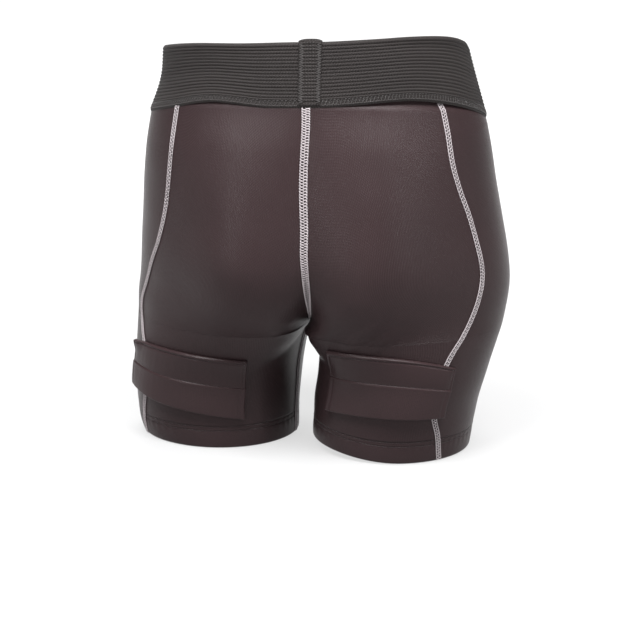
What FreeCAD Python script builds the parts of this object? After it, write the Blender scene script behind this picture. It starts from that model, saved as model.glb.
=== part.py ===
"""Compression shorts with hook-and-loop sock tabs and a cup pocket, as a parametric FreeCAD document.

Frame: millimetres, +Z up, the wearer faces -Y, the wearer's left is +X, and the origin is on the
floor plane that both leg hems stand on.  The shorts are modelled in their worn shape.  A garment
point is named by its side, by phi, the angle round the leg's axis (0 faces the other leg, 90 the
back, 180 the outer side, 270 the front), and by its height.  The garment is drawn symmetric and
then posed: the hips lean and the legs twist a little, as on a wearer with one leg set back.
"""

import FreeCAD
import Part
import math
import os
import Sketcher
from FreeCAD import Placement, Rotation, Vector

DOC = FreeCAD.newDocument("sock_tab_shorts")
SHEET = DOC.addObject("Spreadsheet::Sheet", "sizes")
PARTS_FOLDER = "parts"

# ---------------------------------------------------------------- driving dimensions

SIZES = {
    # waistband
    "band_thick": 1.8,
    "band_stand_off": 0.4,
    "band_overlap_width": 18.0,
    "band_overlap_thick": 1.4,
    "band_waisting": -1.5,
    "waist_tilt": 0.175,
    # fabric, seams and hems
    "fabric_thick": 1.0,
    "panel_gap": 0.35,
    "panel_top_height": 257.3,
    "hem_height": 17.5,
    "hem_thick": 2.0,
    "crotch_height": 97.0,
    "draw_height": 88.0,
    "draw_angle": 24.0,
    "merge_height": 45.0,
    "merged_height": 135.0,
    "inner_merge_delay": 38.0,
    "seam_lift": 0.15,
    "centre_seam_lift": 0.5,
    "pouch_seam_lift": 0.9,
    "inseam_lift": 1.0,
    "seam_thick": 0.5,
    "centre_seam_width": 7.2,
    "side_seam_width": 4.6,
    # sock tabs
    "tab_taper": 0.145,
    "tab_taper_bow": 0.065,
    "tab_lift": 0.9,
    "tab_thick": 1.2,
    "tape_thick": 0.6,
    "tape_half_width": 44.0,
    "tape_height": 17.0,
    "tab_clearance": 0.25,
    # protective cup
    "cup_half_width": 40.0,
    "cup_half_height": 48.0,
    "cup_depth": 32.0,
    "cup_wall": 2.2,
    "cup_pad_radius": 3.2,
    "cup_centre_height": 176.0,
    "cup_centre_front": 60.0,
    "cup_lean_deg": 7.0,
    "cup_vent_width": 5.0,
    "cup_vent_length": 22.0,
    "cup_vent_pitch": 11.0,
    # pose of the worn shape
    "hip_shift": -6.5,
    "leg_shift": 8.0,
    "hip_shift_height": 140.0,
    "centre_x": 4.15,
    "centre_y": -1.72,
    # care label
    "label_width": 32.0,
    "label_length": 20.0,
    "label_thick": 0.5,
}

# Girth chart: one row for each level, in the order of CHART_COLUMNS.
CHART_COLUMNS = (
    "height",
    "axis_x",
    "leg_half_width",
    "leg_back",
    "leg_front",
    "trunk_half_width",
    "trunk_back",
    "trunk_front",
    "seat_lobe",
    "pouch_bulge",
    "leg_gap",
)
CHART = {
    "floor": (0, 69.5, 61.0, 60.5, 60.5, 139.0, 70.0, 70.0, 0, 0, 2),
    "lower_thigh": (30, 72.5, 63.2, 64.0, 65.0, 139.0, 70.0, 70.0, 0, 0, 5),
    "thigh": (60, 74.5, 65.5, 68.0, 70.0, 139.0, 72.0, 74.0, 0, 0, 9),
    "upper_thigh": (92, 73.5, 69.0, 76.0, 75.0, 141.5, 84.0, 83.0, 5, 2, 5),
    "seat_fold": (124, 69.0, 72.0, 80.0, 78.0, 143.8, 96.0, 89.0, 11, 11, 0),
    "seat": (155, 67.5, 72.0, 80.0, 78.0, 142.5, 102.0, 93.0, 13, 14, 0),
    "hip": (190, 65.5, 72.0, 80.0, 78.0, 139.0, 99.0, 92.0, 10, 9, 0),
    "high_hip": (226, 63.5, 72.0, 80.0, 78.0, 134.0, 94.0, 90.0, 4, 3, 0),
    "band_edge": (258, 62.0, 72.0, 80.0, 78.0, 127.0, 86.5, 86.5, 0, 0, 0),
    "band_top": (306, 58.0, 72.0, 80.0, 78.0, 114.5, 80.0, 80.0, 0, 0, 0),
}

# Curves over height: (height, value) stations.
CROTCH_BACK = [(97, 0), (98.5, 14), (102, 30), (108, 48), (116, 65), (128, 82), (142, 93),
               (160, 98), (190, 97), (226, 92), (258, 86.5), (306, 80)]
CROTCH_FRONT = [(97, 0), (98.5, 12), (102, 30), (108, 50), (115, 66), (125, 82), (140, 98),
                (160, 106), (190, 101), (226, 93), (258, 86.5), (306, 80)]
BACK_OPENING = [(97, 0.02), (104, 0.2), (112, 0.4), (125, 0.75), (140, 1.3), (160, 2.2),
                (200, 3.5), (258, 6.0)]
FRONT_OPENING = [(97, 0.02), (104, 0.3), (112, 0.8), (120, 2.0), (130, 5.0)]
BACK_ROUNDING = [(0, 4), (60, 10), (97, 22), (125, 20), (150, 12), (190, 7), (258, 2)]
FRONT_ROUNDING = [(0, 4), (60, 10), (97, 20), (110, 12), (125, 6), (160, 2)]
SIDE_SEAM_PHI = {
    1: [(0, 142), (20, 137), (35, 132), (45, 130), (62, 131), (75, 135), (88, 142), (104, 149),
        (125, 146), (140, 141), (150, 137), (165, 131), (187, 126), (205, 124), (262, 122)],
    -1: [(0, 141), (20, 136.5), (35, 131), (45, 129), (62, 127), (75, 127), (88, 129), (100, 133),
         (112, 137), (125, 140), (145, 142), (165, 140), (187, 136.5), (205, 131.5), (225, 127),
         (262, 125)],
}
POUCH_HALF_GIRTH = [(97, 2), (104, 9), (115, 22), (135, 42), (165, 58), (200, 61), (262, 56)]
TWIST_DEG = [(0, -7.5), (60, -7.0), (110, -3.0), (165, 0.0), (306, 2.0)]

# Sock tabs: side, face, centre phi, height of the top edge's middle, its slope and its bow, and
# the tab's half width, the height of its stitched band and its whole height.
TABS = (
    (1, "back", 101.0, 79.2, 2.3, 3.0, 52.5, 23.0, 46.5),
    (-1, "back", 93.6, 87.0, -6.6, 5.0, 50.0, 21.3, 48.5),
    (1, "front", 262.0, 75.0, 0.0, 3.0, 52.0, 22.0, 47.0),
    (-1, "front", 262.0, 75.0, 0.0, 3.0, 52.0, 22.0, 47.0),
)
SIDE_NAME = {1: "left", -1: "right"}


def fill_sheet():
    """Puts every driving dimension and the girth chart into the spreadsheet, one aliased cell each."""
    for row, (alias, value) in enumerate(SIZES.items(), start=1):
        SHEET.set(f"A{row}", alias)
        SHEET.set(f"B{row}", str(value))
        SHEET.setAlias(f"B{row}", alias)
    columns = "DEFGHIJKLMN"
    for row, (level, values) in enumerate(CHART.items(), start=1):
        SHEET.set(f"C{row}", level)
        for letter, measure, value in zip(columns, CHART_COLUMNS, values):
            SHEET.set(f"{letter}{row}", str(value))
            SHEET.setAlias(f"{letter}{row}", f"{level}_{measure}")
    DOC.recompute()


def size(alias):
    return float(SHEET.get(alias))


fill_sheet()
S = {alias: size(alias) for alias in SIZES}
S.update({f"{level}_{m}": size(f"{level}_{m}") for level in CHART for m in CHART_COLUMNS})
STATIONS = {
    measure: [(size(f"{level}_height"), size(f"{level}_{measure}")) for level in CHART]
    for measure in CHART_COLUMNS[1:]
}


# ---------------------------------------------------------------- garment surface


def smooth(x):
    x = max(0.0, min(1.0, x))
    return x * x * (3 - 2 * x)


def profile(z, stations):
    """Cubic through (height, value) stations, level beyond both ends."""
    if z <= stations[0][0]:
        return stations[0][1]
    if z >= stations[-1][0]:
        return stations[-1][1]
    k = max(i for i in range(len(stations) - 1) if stations[i][0] <= z)

    def slope(i):
        a, b = stations[max(i - 1, 0)], stations[min(i + 1, len(stations) - 1)]
        return (b[1] - a[1]) / (b[0] - a[0])

    (z0, v0), (z1, v1) = stations[k], stations[k + 1]
    run = z1 - z0
    t = (z - z0) / run
    return (
        (2 * t**3 - 3 * t**2 + 1) * v0
        + (t**3 - 2 * t**2 + t) * run * slope(k)
        + (3 * t**2 - 2 * t**3) * v1
        + (t**3 - t**2) * run * slope(k + 1)
    )


def chart(measure, z):
    return profile(z, STATIONS[measure])


def ellipse_radius(c, s, half_width, depth):
    return 1 / math.sqrt((c / half_width) ** 2 + (s / depth) ** 2)


def trunk_radius(c, s, z):
    """Distance from the leg's axis to the trunk's oval, along the direction (-c, s)."""
    x0 = chart("axis_x", z)
    w = chart("trunk_half_width", z)
    d = chart("trunk_back", z) if s >= 0 else chart("trunk_front", z)
    a = (c / w) ** 2 + (s / d) ** 2
    b = -2 * x0 * c / w**2
    k = (x0 / w) ** 2 - 1
    return (-b + math.sqrt(b * b - 4 * a * k)) / (2 * a)


def smooth_min(a, b, rounding):
    h = max(0.0, min(1.0, 0.5 + 0.5 * (b - a) / rounding))
    return b * (1 - h) + a * h - rounding * h * (1 - h)


def wall_radius(c, s, z):
    """Distance from the leg's axis to the valley's wall: a plane between the legs, and above the
    crotch a plane through the centre seam that opens outwards.  None where the ray misses it."""
    x0 = chart("axis_x", z)
    if z <= S["crotch_height"]:
        return (x0 - chart("leg_gap", z)) / c if c > 0.05 else None
    slope = profile(z, BACK_OPENING if s >= 0 else FRONT_OPENING)
    seam = profile(z, CROTCH_BACK if s >= 0 else CROTCH_FRONT)
    across = c + slope * abs(s)
    return (x0 + slope * seam) / across if across > 0.05 else None


def base_point(phi, z):
    """Point (x, y) of the left half's section at height z, before its edges meet the centre."""
    c, s = math.cos(math.radians(phi)), math.sin(math.radians(phi))
    depth = chart("leg_back", z) if s >= 0 else chart("leg_front", z)
    leg = ellipse_radius(c, s, chart("leg_half_width", z), depth)
    merge = S["merge_height"] + S["inner_merge_delay"] * math.exp(-(1 - c) / 0.4)
    share = smooth((z - merge) / (S["merged_height"] - merge))
    r = (1 - share) * leg + share * trunk_radius(c, s, z)
    wall = wall_radius(c, s, z)
    if wall:
        r = smooth_min(r, wall, profile(z, BACK_ROUNDING if s >= 0 else FRONT_ROUNDING))
    x, y = chart("axis_x", z) - r * c, r * s
    if y > 0:
        y += chart("seat_lobe", z) * math.exp(-(((x - 56) / 38) ** 2)) * smooth(y / 60)
    else:
        y -= chart("pouch_bulge", z) * math.exp(-((x / 40) ** 2)) * smooth(-y / 60)
    return x, y


def centre_phi(z, face):
    """Angle at which the half's section meets the centre plane, at the back or at the front."""
    if z <= S["crotch_height"]:
        return 0.0 if face == "back" else 360.0
    y = profile(z, CROTCH_BACK if face == "back" else CROTCH_FRONT)
    angle = math.degrees(math.atan2(y, chart("axis_x", z)))
    return angle if face == "back" else 360.0 - angle


def section_point(phi, z):
    """Point (x, y) of the left half's section, with its ends drawn onto the crotch curve."""
    x, y = base_point(phi, z)
    drawn = smooth((z - S["draw_height"]) / (S["crotch_height"] - S["draw_height"]))
    if drawn > 0:
        back = phi < 180
        edge = centre_phi(z, "back" if back else "front")
        pull = drawn * (1 - smooth(abs(phi - edge) / S["draw_angle"]))
        if pull > 0:
            x_edge, y_edge = base_point(edge, z)
            y_seam = 0.0
            if z > S["crotch_height"]:
                y_seam = profile(z, CROTCH_BACK) if back else -profile(z, CROTCH_FRONT)
            x -= pull * x_edge
            y += pull * (y_seam - y_edge)
    return x, y


def level_tilt(z):
    return S["waist_tilt"] * smooth((z - 150) / 108)


def flat_point(phi, z):
    x, y = section_point(phi, z)
    return Vector(x, y, z + level_tilt(z) * y)


def normal(phi, z):
    step = 0.6
    along = flat_point(phi + step, z) - flat_point(phi - step, z)
    up = flat_point(phi, z + step) - flat_point(phi, z - step)
    return up.cross(along).normalize()


def lifted(phi, z, lift):
    """Point of the left half, lift outside the garment's surface."""
    n = normal(phi, z)
    at = flat_point(phi, z)
    if at.x < 0.01 and z > S["crotch_height"]:
        n.x = 0.0
        n.normalize()
    return at + n * lift


def lean(z):
    turn = S["hip_shift_height"]
    if z < turn:
        span = S["leg_shift"] - S["hip_shift"]
        return S["hip_shift"] + span * (1 - math.cos(math.pi * (turn - max(z, 0)) / turn)) / 2
    rise = S["band_top_height"] - turn
    return S["hip_shift"] * (1 + math.cos(math.pi * min(z - turn, rise) / rise)) / 2


def posed(point, side):
    """A point of the symmetric garment in the worn pose, on the side asked for."""
    a = math.radians(profile(point.z, TWIST_DEG))
    x, y = side * point.x, point.y
    return Vector(
        x * math.cos(a) - y * math.sin(a) + lean(point.z) + S["centre_x"],
        x * math.sin(a) + y * math.cos(a) + S["centre_y"],
        point.z,
    )


def walk(phi, z, distance):
    """Angle reached by going distance along the section from phi, either way."""
    steps = max(2, int(abs(distance) / 2) + 1)
    for _ in range(steps):
        (x0, y0), (x1, y1) = section_point(phi - 0.3, z), section_point(phi + 0.3, z)
        phi += 0.6 * (distance / steps) / math.hypot(x1 - x0, y1 - y0)
    return phi


# ---------------------------------------------------------------- solids from grids of points


def knots(count, degree):
    """Evenly spaced knots, full at both ends, for a curve of count poles."""
    spans = count - degree
    return [degree + 1] + [1] * (spans - 1) + [degree + 1], [float(i) for i in range(spans + 1)]


def grid_face(rows):
    """Smooth surface that has the grid's points as its poles, so it never swings past them."""
    across, along = min(3, len(rows) - 1), min(3, len(rows[0]) - 1)
    (u_mults, u_knots), (v_mults, v_knots) = knots(len(rows), across), knots(len(rows[0]), along)
    surface = Part.BSplineSurface()
    surface.buildFromPolesMultsKnots(
        rows, u_mults, v_mults, u_knots, v_knots, False, False, across, along
    )
    return surface


def shell_solid(outer_rows, inner_rows):
    """Closed solid between two grids of points with the same layout."""
    rims = [
        [outer_rows[0], inner_rows[0]],
        [outer_rows[-1], inner_rows[-1]],
        [[row[0] for row in outer_rows], [row[0] for row in inner_rows]],
        [[row[-1] for row in outer_rows], [row[-1] for row in inner_rows]],
    ]
    shell = Part.makeShell([grid_face(rows).toShape() for rows in (outer_rows, inner_rows, *rims)])
    shell.sewShape()
    solid = Part.makeSolid(shell)
    if solid.Volume < 0:
        solid.reverse()
    return solid


def spread(low, high, count):
    return [low + (high - low) * i / (count - 1) for i in range(count)]


def add_shape(label, *solids):
    item = DOC.addObject("Part::Feature", label)
    item.Label = label
    item.Shape = solids[0] if len(solids) == 1 else Part.makeCompound(list(solids))
    item.Placement = Placement()
    return item


def skin(label, place, across, heights, inner, outer):
    """Solid whose grid point (s, z) is place(s, z, lift), between the lifts inner and outer."""
    rows = [[[place(s, z, lift) for s in across] for z in heights] for lift in (outer, inner)]
    return add_shape(label, shell_solid(*rows))


PANEL_HEIGHTS = sorted(
    spread(S["hem_height"] + 0.3, 86, 8)
    + [91, 95, 97.6, 99, 101, 104, 108, 113, 119, 126, 134, 143]
    + spread(153, S["panel_top_height"], 9)
)


def pouch_edge_phi(z):
    """Angle of the pouch panel's side edge, or of the centre where there is no pouch."""
    edge = centre_phi(z, "front")
    if z < POUCH_HALF_GIRTH[0][0]:
        return edge
    return walk(edge, z, -profile(z, POUCH_HALF_GIRTH))


def strip_between(side, start, stop):
    """A place function that runs from the angle start(z) to stop(z) as s goes from 0 to 1."""

    def place(s, z, lift):
        gap = S["panel_gap"]
        low, high = walk(start(z), z, gap), walk(stop(z), z, -gap)
        return posed(lifted(low + (high - low) * s, z, lift), side)

    return place


def make_panels():
    for side, name in SIDE_NAME.items():
        back = strip_between(side, lambda z: centre_phi(z, "back"), lambda z: profile(z, SIDE_SEAM_PHI[side]))
        front = strip_between(side, lambda z: profile(z, SIDE_SEAM_PHI[side]), pouch_edge_phi)
        skin(f"back_panel_{name}", back, spread(0, 1, 19), PANEL_HEIGHTS, -S["fabric_thick"], 0)
        skin(f"side_panel_{name}", front, spread(0, 1, 25), PANEL_HEIGHTS, -S["fabric_thick"], 0)


def make_pouch():
    """Front pouch panel, and behind the cup its liner with an elastic binding at the mouth."""

    def place(s, z, lift):
        side = 1 if s >= 0 else -1
        edge, centre = walk(pouch_edge_phi(z), z, S["panel_gap"]), centre_phi(z, "front")
        return posed(lifted(centre + (edge - centre) * abs(s), z, lift), side)

    heights = [99.5, 102, 105, 109, 114, 120, 128, 138, 150, 163, 178, 195, 215, 238, S["panel_top_height"]]
    skin("pouch_panel", place, spread(-1, 1, 17), heights, -S["fabric_thick"], 0)

    def liner(s, z, lift):
        x = abs(s) * (section_point(pouch_edge_phi(z), z)[0] - 4)
        back = math.tan(math.radians(S["cup_lean_deg"])) * (z - S["cup_centre_height"])
        behind_cup = back - S["cup_centre_front"] + S["cup_pad_radius"] + 5.6
        phi = pouch_edge_phi(z)
        for _ in range(4):
            phi = walk(phi, z, section_point(phi, z)[0] - x)
        fabric = section_point(phi, z)[1] + S["fabric_thick"] + 1.6
        toward = smooth((x - (S["cup_half_width"] + 9)) / 7)
        y = max(behind_cup + (fabric - behind_cup) * toward, fabric)
        return posed(Vector(x, y - lift, z + level_tilt(z) * y), 1 if s >= 0 else -1)

    skin("pouch_liner", liner, spread(-1, 1, 37), spread(136, 232, 9), -0.5, 0.5)
    skin("pocket_binding", liner, spread(-1, 1, 37), spread(232.5, 239, 3), -0.9, 0.9)


# ---------------------------------------------------------------- seams


def make_seams():

    def layer(lift):
        return S[lift], S[lift] + S["seam_thick"]

    top = S["band_edge_height"] - 0.5
    half = S["side_seam_width"] / 2

    def centre(face):
        def place(s, z, lift):
            distance = abs(s) * S["centre_seam_width"] / 2 + 0.01
            phi = walk(centre_phi(z, face), z, distance if face == "back" else -distance)
            if abs(s) < 0.01:
                phi = centre_phi(z, face)
            return posed(lifted(phi, z, lift), 1 if s >= 0 else -1)

        return place

    heights = [100.5, 103, 107, 112, 119, 128, 140, 155, 175, 200, 230, top]
    skin("centre_back_seam", centre("back"), spread(-1, 1, 5), heights, *layer("centre_seam_lift"))
    for side, name in SIDE_NAME.items():

        def beside(line, width):
            return lambda s, z, lift: posed(lifted(walk(line(z), z, s * width), z, lift), side)

        start = S["hem_height"] + 0.3
        side_line = beside(lambda z: profile(z, SIDE_SEAM_PHI[side]), half)
        skin(f"back_side_seam_{name}", side_line, spread(-1, 1, 3), spread(start, top, 26), *layer("seam_lift"))
        pouch_line = beside(lambda z: pouch_edge_phi(z), half)
        skin(f"pouch_seam_{name}", pouch_line, spread(-1, 1, 3), spread(114, top - 3, 20), *layer("pouch_seam_lift"))
        inseam_line = beside(lambda z: 0.0, half)
        skin(f"inseam_{name}", inseam_line, spread(-1, 1, 3), spread(start, 86, 9), *layer("inseam_lift"))


# ---------------------------------------------------------------- sock tabs


def tab_place(side, centre, middle, slope, bow, half):
    """Place function of a tab: s runs across it in millimetres, drop down from its top edge."""

    def place(s, drop, lift):
        share = s / half
        narrowing = S["tab_taper"] * share + S["tab_taper_bow"] * share * share
        z = middle + slope * share - bow * share * share - drop * (1 - narrowing)
        phi = walk(centre, z, s if centre < 180 else -s)
        return posed(lifted(phi, z, lift), side)

    return place


def make_tabs():
    """Each tab: a stitched band, a free flap that carries the hook tape, and a loop tape below."""
    lift, tape, clear = S["tab_lift"], S["tape_thick"], S["tab_clearance"]
    flap_low = lift + 2 * tape + clear + 0.3
    flap_high = flap_low + S["tab_thick"]
    tape_across = spread(-S["tape_half_width"], S["tape_half_width"], 13)
    for side, face, centre, middle, slope, bow, half, band, tall in TABS:
        place = tab_place(side, centre, middle, slope, bow, half)
        across = spread(-half, half, 15)
        tape_drops = spread(band + 4.0, band + 4.0 + S["tape_height"], 4)
        name = f"{face}_tab_{{}}_{SIDE_NAME[side]}"
        skin(name.format("band"), place, across, spread(0, band - 0.6, 4), lift, flap_high - 0.6)
        skin(name.format("flap"), place, across, spread(band, tall, 5), flap_low, flap_high)
        skin(name.format("hook_tape"), place, tape_across, tape_drops, lift + tape + clear, lift + 2 * tape + clear)
        skin(name.format("loop_tape"), place, tape_across, tape_drops, lift, lift + tape)
        hinge = place(0, band - 0.3, flap_high + 0.2)
        ends = [place(s, band, flap_high) for s in (-1.0, 1.0)]
        axis = ends[1] - ends[0]
        axis.normalize()
        outward = place(0, tall / 2, 10) - place(0, tall / 2, 0)
        if axis.cross(Vector(0, 0, -1)).dot(outward) < 0:
            axis = -axis
        print(name.format("hinge"), "pos", [round(v, 3) for v in hinge], "axis", [round(v, 5) for v in axis])


# ---------------------------------------------------------------- hems and waistband


def ellipse_curve(label, half_width, half_depth, place):
    """A Part ellipse whose radii are expressions; the wider radius lies along its own X."""
    curve = DOC.addObject("Part::Ellipse", label)
    curve.setExpression("MajorRadius", half_width)
    curve.setExpression("MinorRadius", half_depth)
    curve.Placement = place
    return curve


def loft(label, sections):
    item = DOC.addObject("Part::Loft", label)
    item.Sections = sections
    item.Solid = True
    item.Ruled = False
    return item


def ring(label, outer_sections, inner_sections):
    """Part::Cut of two lofts, which is a closed band."""
    cut = DOC.addObject("Part::Cut", label)
    cut.Base = loft(label + "_outer", outer_sections)
    cut.Tool = loft(label + "_inner", inner_sections)
    cut.Label = label
    return cut


def make_hems():
    """Turned-up leg hems: rings that the shorts stand on."""
    for side, name in SIDE_NAME.items():
        walls = {}
        for wall, inset in (("outer", "0"), ("inner", "sizes.hem_thick")):
            walls[wall] = []
            for rise in (0.0, 0.5, 1.0):
                z = rise * S["hem_height"]
                centre = posed(Vector(chart("axis_x", z), 0, z), side)
                centre.z += {"outer": 0.0, "inner": 2.0 * rise - 1.0}[wall]
                grow = chart("leg_half_width", z) - S["floor_leg_half_width"]
                place = Placement(centre, Rotation(Vector(0, 0, 1), profile(z, TWIST_DEG)))
                walls[wall].append(
                    ellipse_curve(
                        f"hem_{name}_{wall}_{int(10 * rise)}",
                        f"sizes.floor_leg_half_width + {grow} - {inset}",
                        f"sizes.floor_leg_back + {grow} - {inset}",
                        place,
                    )
                )
        ring(f"leg_hem_{name}", walls["outer"], walls["inner"])


def waist_plane(z, extra=0.0):
    """Placement of the tilted plane of the level z, raised by extra along its own normal."""
    turn = Rotation(Vector(0, 0, 1), profile(z, TWIST_DEG))
    turn = turn.multiply(Rotation(Vector(1, 0, 0), math.degrees(math.atan(S["waist_tilt"]))))
    return Placement(posed(Vector(0, 0, z), 1) + turn.multVec(Vector(0, 0, extra)), turn)


def make_waistband():
    """Wide elastic waistband, a ring of one ply, and the doubled join at the centre of its back."""
    stretch = math.sqrt(1 + S["waist_tilt"] ** 2)
    lifts = {"inner": "sizes.band_stand_off", "outer": "sizes.band_stand_off + sizes.band_thick"}
    walls = {"inner": [], "outer": []}
    for wall, grow in lifts.items():
        for level, share in (("band_edge", 0.0), ("middle", 0.5), ("band_top", 1.0)):
            z = S["band_edge_height"] + share * (S["band_top_height"] - S["band_edge_height"])
            waisting = S["band_waisting"] if level == "middle" else 0.0
            wide = f"sizes.band_edge_trunk_half_width * {1 - share} + sizes.band_top_trunk_half_width * {share}"
            deep = f"sizes.band_edge_trunk_back * {1 - share} + sizes.band_top_trunk_back * {share}"
            extra = 2.0 * (share * 2 - 1) if wall == "inner" else 0.0
            walls[wall].append(
                ellipse_curve(
                    f"band_{wall}_{level}",
                    f"{wide} + {waisting} + {grow}",
                    f"({deep} + {waisting}) * {stretch} + {grow}",
                    waist_plane(z, extra),
                )
            )
    ring("waistband", walls["outer"], walls["inner"])

    def place(s, share, lift):
        z = S["band_edge_height"] + 0.5 + share * (S["band_top_height"] - S["band_edge_height"] + 1.5)
        wide = chart("trunk_half_width", z) + S["band_stand_off"] + S["band_thick"]
        deep = chart("trunk_back", z) + S["band_stand_off"] + S["band_thick"] + lift
        x = s * S["band_overlap_width"] / 2
        y = deep * math.sqrt(1 - (x / wide) ** 2)
        return posed(Vector(x, y, z + S["waist_tilt"] * y), 1)

    low = 0.25
    high = low + S["band_overlap_thick"]
    skin("waistband_overlap", place, spread(-1, 1, 5), spread(0, 1, 5), low, high)


# ---------------------------------------------------------------- protective cup


def cup_placement():
    lean_back = Rotation(Vector(1, 0, 0), 90 - S["cup_lean_deg"])
    centre = Vector(0, -S["cup_centre_front"], S["cup_centre_height"])
    return Placement(posed(centre, 1), lean_back)


def ellipse_sketch(body, label, offset, half_width, half_height):
    """Sketch with one centred ellipse, offset along the body's Z, sized by expressions."""
    sketch = body.newObject("Sketcher::SketchObject", label)
    plane = next(f for f in body.Origin.OriginFeatures if f.Role == "XY_Plane")
    sketch.AttachmentSupport = [(plane, "")]
    sketch.MapMode = "FlatFace"
    sketch.setExpression("AttachmentOffset.Base.z", offset)
    sketch.addGeometry(Part.Ellipse(Vector(0, 40, 0), Vector(25, 0, 0), Vector(0, 0, 0)), False)
    sketch.exposeInternalGeometry(0)
    sketch.addConstraint(Sketcher.Constraint("Coincident", 0, 3, -1, 1))
    sketch.addConstraint(Sketcher.Constraint("Vertical", 1))
    tall = sketch.addConstraint(Sketcher.Constraint("Distance", 1, 80.0))
    wide = sketch.addConstraint(Sketcher.Constraint("Distance", 2, 50.0))
    sketch.renameConstraint(tall, "tall")
    sketch.renameConstraint(wide, "wide")
    sketch.setExpression("Constraints.tall", f"2 * ({half_height})")
    sketch.setExpression("Constraints.wide", f"2 * ({half_width})")
    return sketch


def dome(body, kind, label, start, depth, shrink):
    """Loft of five ellipses from the rim at offset start to the nose."""
    sketches = []
    for k, share in enumerate((0.0, 0.35, 0.65, 0.88, 1.0)):
        flat = math.sqrt(max(1 - (0.97 * share) ** 2, 0))
        sketches.append(
            ellipse_sketch(
                body,
                f"{label}_{k}",
                f"{start} + ({depth}) * {share}",
                f"(sizes.cup_half_width - {shrink}) * {flat:.4f}",
                f"(sizes.cup_half_height - {shrink}) * {flat:.4f}",
            )
        )
    feature = body.newObject(kind, label)
    feature.Profile = sketches[0]
    feature.Sections = sketches[1:]
    for sketch in sketches:
        sketch.Visibility = False
    return feature


def make_cup():
    """Moulded cup: a domed shell with a row of vent slots, and the soft tube round its rim."""
    shell = DOC.addObject("PartDesign::Body", "cup_shell")
    dome(shell, "PartDesign::AdditiveLoft", "outer_dome", "0", "sizes.cup_depth", "0")
    DOC.recompute()
    solid_volume = shell.Shape.Volume
    depth = "sizes.cup_depth - sizes.cup_wall + 1"
    dome(shell, "PartDesign::SubtractiveLoft", "inner_dome", "-1", depth, "sizes.cup_wall")
    DOC.recompute()
    hollow_volume = shell.Shape.Volume
    slot = shell.newObject("Sketcher::SketchObject", "vent_slot")
    plane = next(f for f in shell.Origin.OriginFeatures if f.Role == "XY_Plane")
    slot.AttachmentSupport = [(plane, "")]
    slot.MapMode = "FlatFace"
    radius, run = S["cup_vent_width"] / 2, S["cup_vent_length"] / 2
    x0 = -S["cup_vent_pitch"]
    slot.addGeometry(Part.LineSegment(Vector(x0 - radius, -run, 0), Vector(x0 - radius, run, 0)), False)
    slot.addGeometry(Part.LineSegment(Vector(x0 + radius, run, 0), Vector(x0 + radius, -run, 0)), False)
    upper = Part.Circle(Vector(x0, run, 0), Vector(0, 0, 1), radius)
    lower = Part.Circle(Vector(x0, -run, 0), Vector(0, 0, 1), radius)
    slot.addGeometry(Part.ArcOfCircle(upper, 0, math.pi), False)
    slot.addGeometry(Part.ArcOfCircle(lower, math.pi, 2 * math.pi), False)
    for first, second in (((0, 2), (2, 2)), ((1, 1), (2, 1)), ((1, 2), (3, 2)), ((0, 1), (3, 1))):
        slot.addConstraint(Sketcher.Constraint("Tangent", *first, *second))
    slot.addConstraint(Sketcher.Constraint("Vertical", 0))
    width = slot.addConstraint(Sketcher.Constraint("Radius", 2, radius))
    slot.renameConstraint(width, "end_radius")
    slot.setExpression("Constraints.end_radius", "sizes.cup_vent_width / 2")
    length = slot.addConstraint(Sketcher.Constraint("Distance", 0, 2 * run))
    slot.renameConstraint(length, "straight")
    slot.setExpression("Constraints.straight", "sizes.cup_vent_length")
    aside = slot.addConstraint(Sketcher.Constraint("DistanceX", 2, 3, -1, 1, -x0))
    slot.renameConstraint(aside, "aside")
    slot.setExpression("Constraints.aside", "sizes.cup_vent_pitch")
    slot.addConstraint(Sketcher.Constraint("DistanceY", -1, 1, 2, 3, run))
    pocket = shell.newObject("PartDesign::Pocket", "vents")
    pocket.Profile = slot
    pocket.Type = "Length"
    pocket.setExpression("Length", "sizes.cup_depth + 5")
    pocket.Reversed = True
    DOC.recompute()
    pattern = shell.newObject("PartDesign::LinearPattern", "vent_row")
    pattern.Originals = [pocket]
    pattern.Direction = (slot, ["H_Axis"])
    pattern.setExpression("Length", "2 * sizes.cup_vent_pitch")
    pattern.Occurrences = 3
    shell.Tip = pattern
    DOC.recompute()
    volumes = [round(v) for v in (solid_volume, hollow_volume, shell.Shape.Volume)]
    print("cup volumes: dome, hollow, vented:", volumes)
    shell.Placement = cup_placement()

    pad = DOC.addObject("PartDesign::Body", "cup_rim_pad")
    grow = "sizes.cup_pad_radius + 0.3"
    spine = ellipse_sketch(
        pad, "rim_path", "0", f"sizes.cup_half_width + {grow}", f"sizes.cup_half_height + {grow}"
    )
    circle = pad.newObject("Sketcher::SketchObject", "rim_section")
    plane = next(f for f in pad.Origin.OriginFeatures if f.Role == "XZ_Plane")
    circle.AttachmentSupport = [(plane, "")]
    circle.MapMode = "FlatFace"
    reach = S["cup_half_width"] + S["cup_pad_radius"] + 0.3
    circle.addGeometry(Part.Circle(Vector(reach, 0, 0), Vector(0, 0, 1), S["cup_pad_radius"]), False)
    tube = circle.addConstraint(Sketcher.Constraint("Radius", 0, S["cup_pad_radius"]))
    circle.renameConstraint(tube, "tube")
    circle.setExpression("Constraints.tube", "sizes.cup_pad_radius")
    out = circle.addConstraint(Sketcher.Constraint("DistanceX", -1, 1, 0, 3, reach))
    circle.renameConstraint(out, "out")
    circle.setExpression("Constraints.out", f"sizes.cup_half_width + {grow}")
    circle.addConstraint(Sketcher.Constraint("PointOnObject", 0, 3, -1))
    DOC.recompute()
    pipe = pad.newObject("PartDesign::AdditivePipe", "rim_tube")
    pipe.Profile = circle
    pipe.Spine = (spine, ["Edge1"])
    DOC.recompute()
    pad.Placement = cup_placement()


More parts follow.
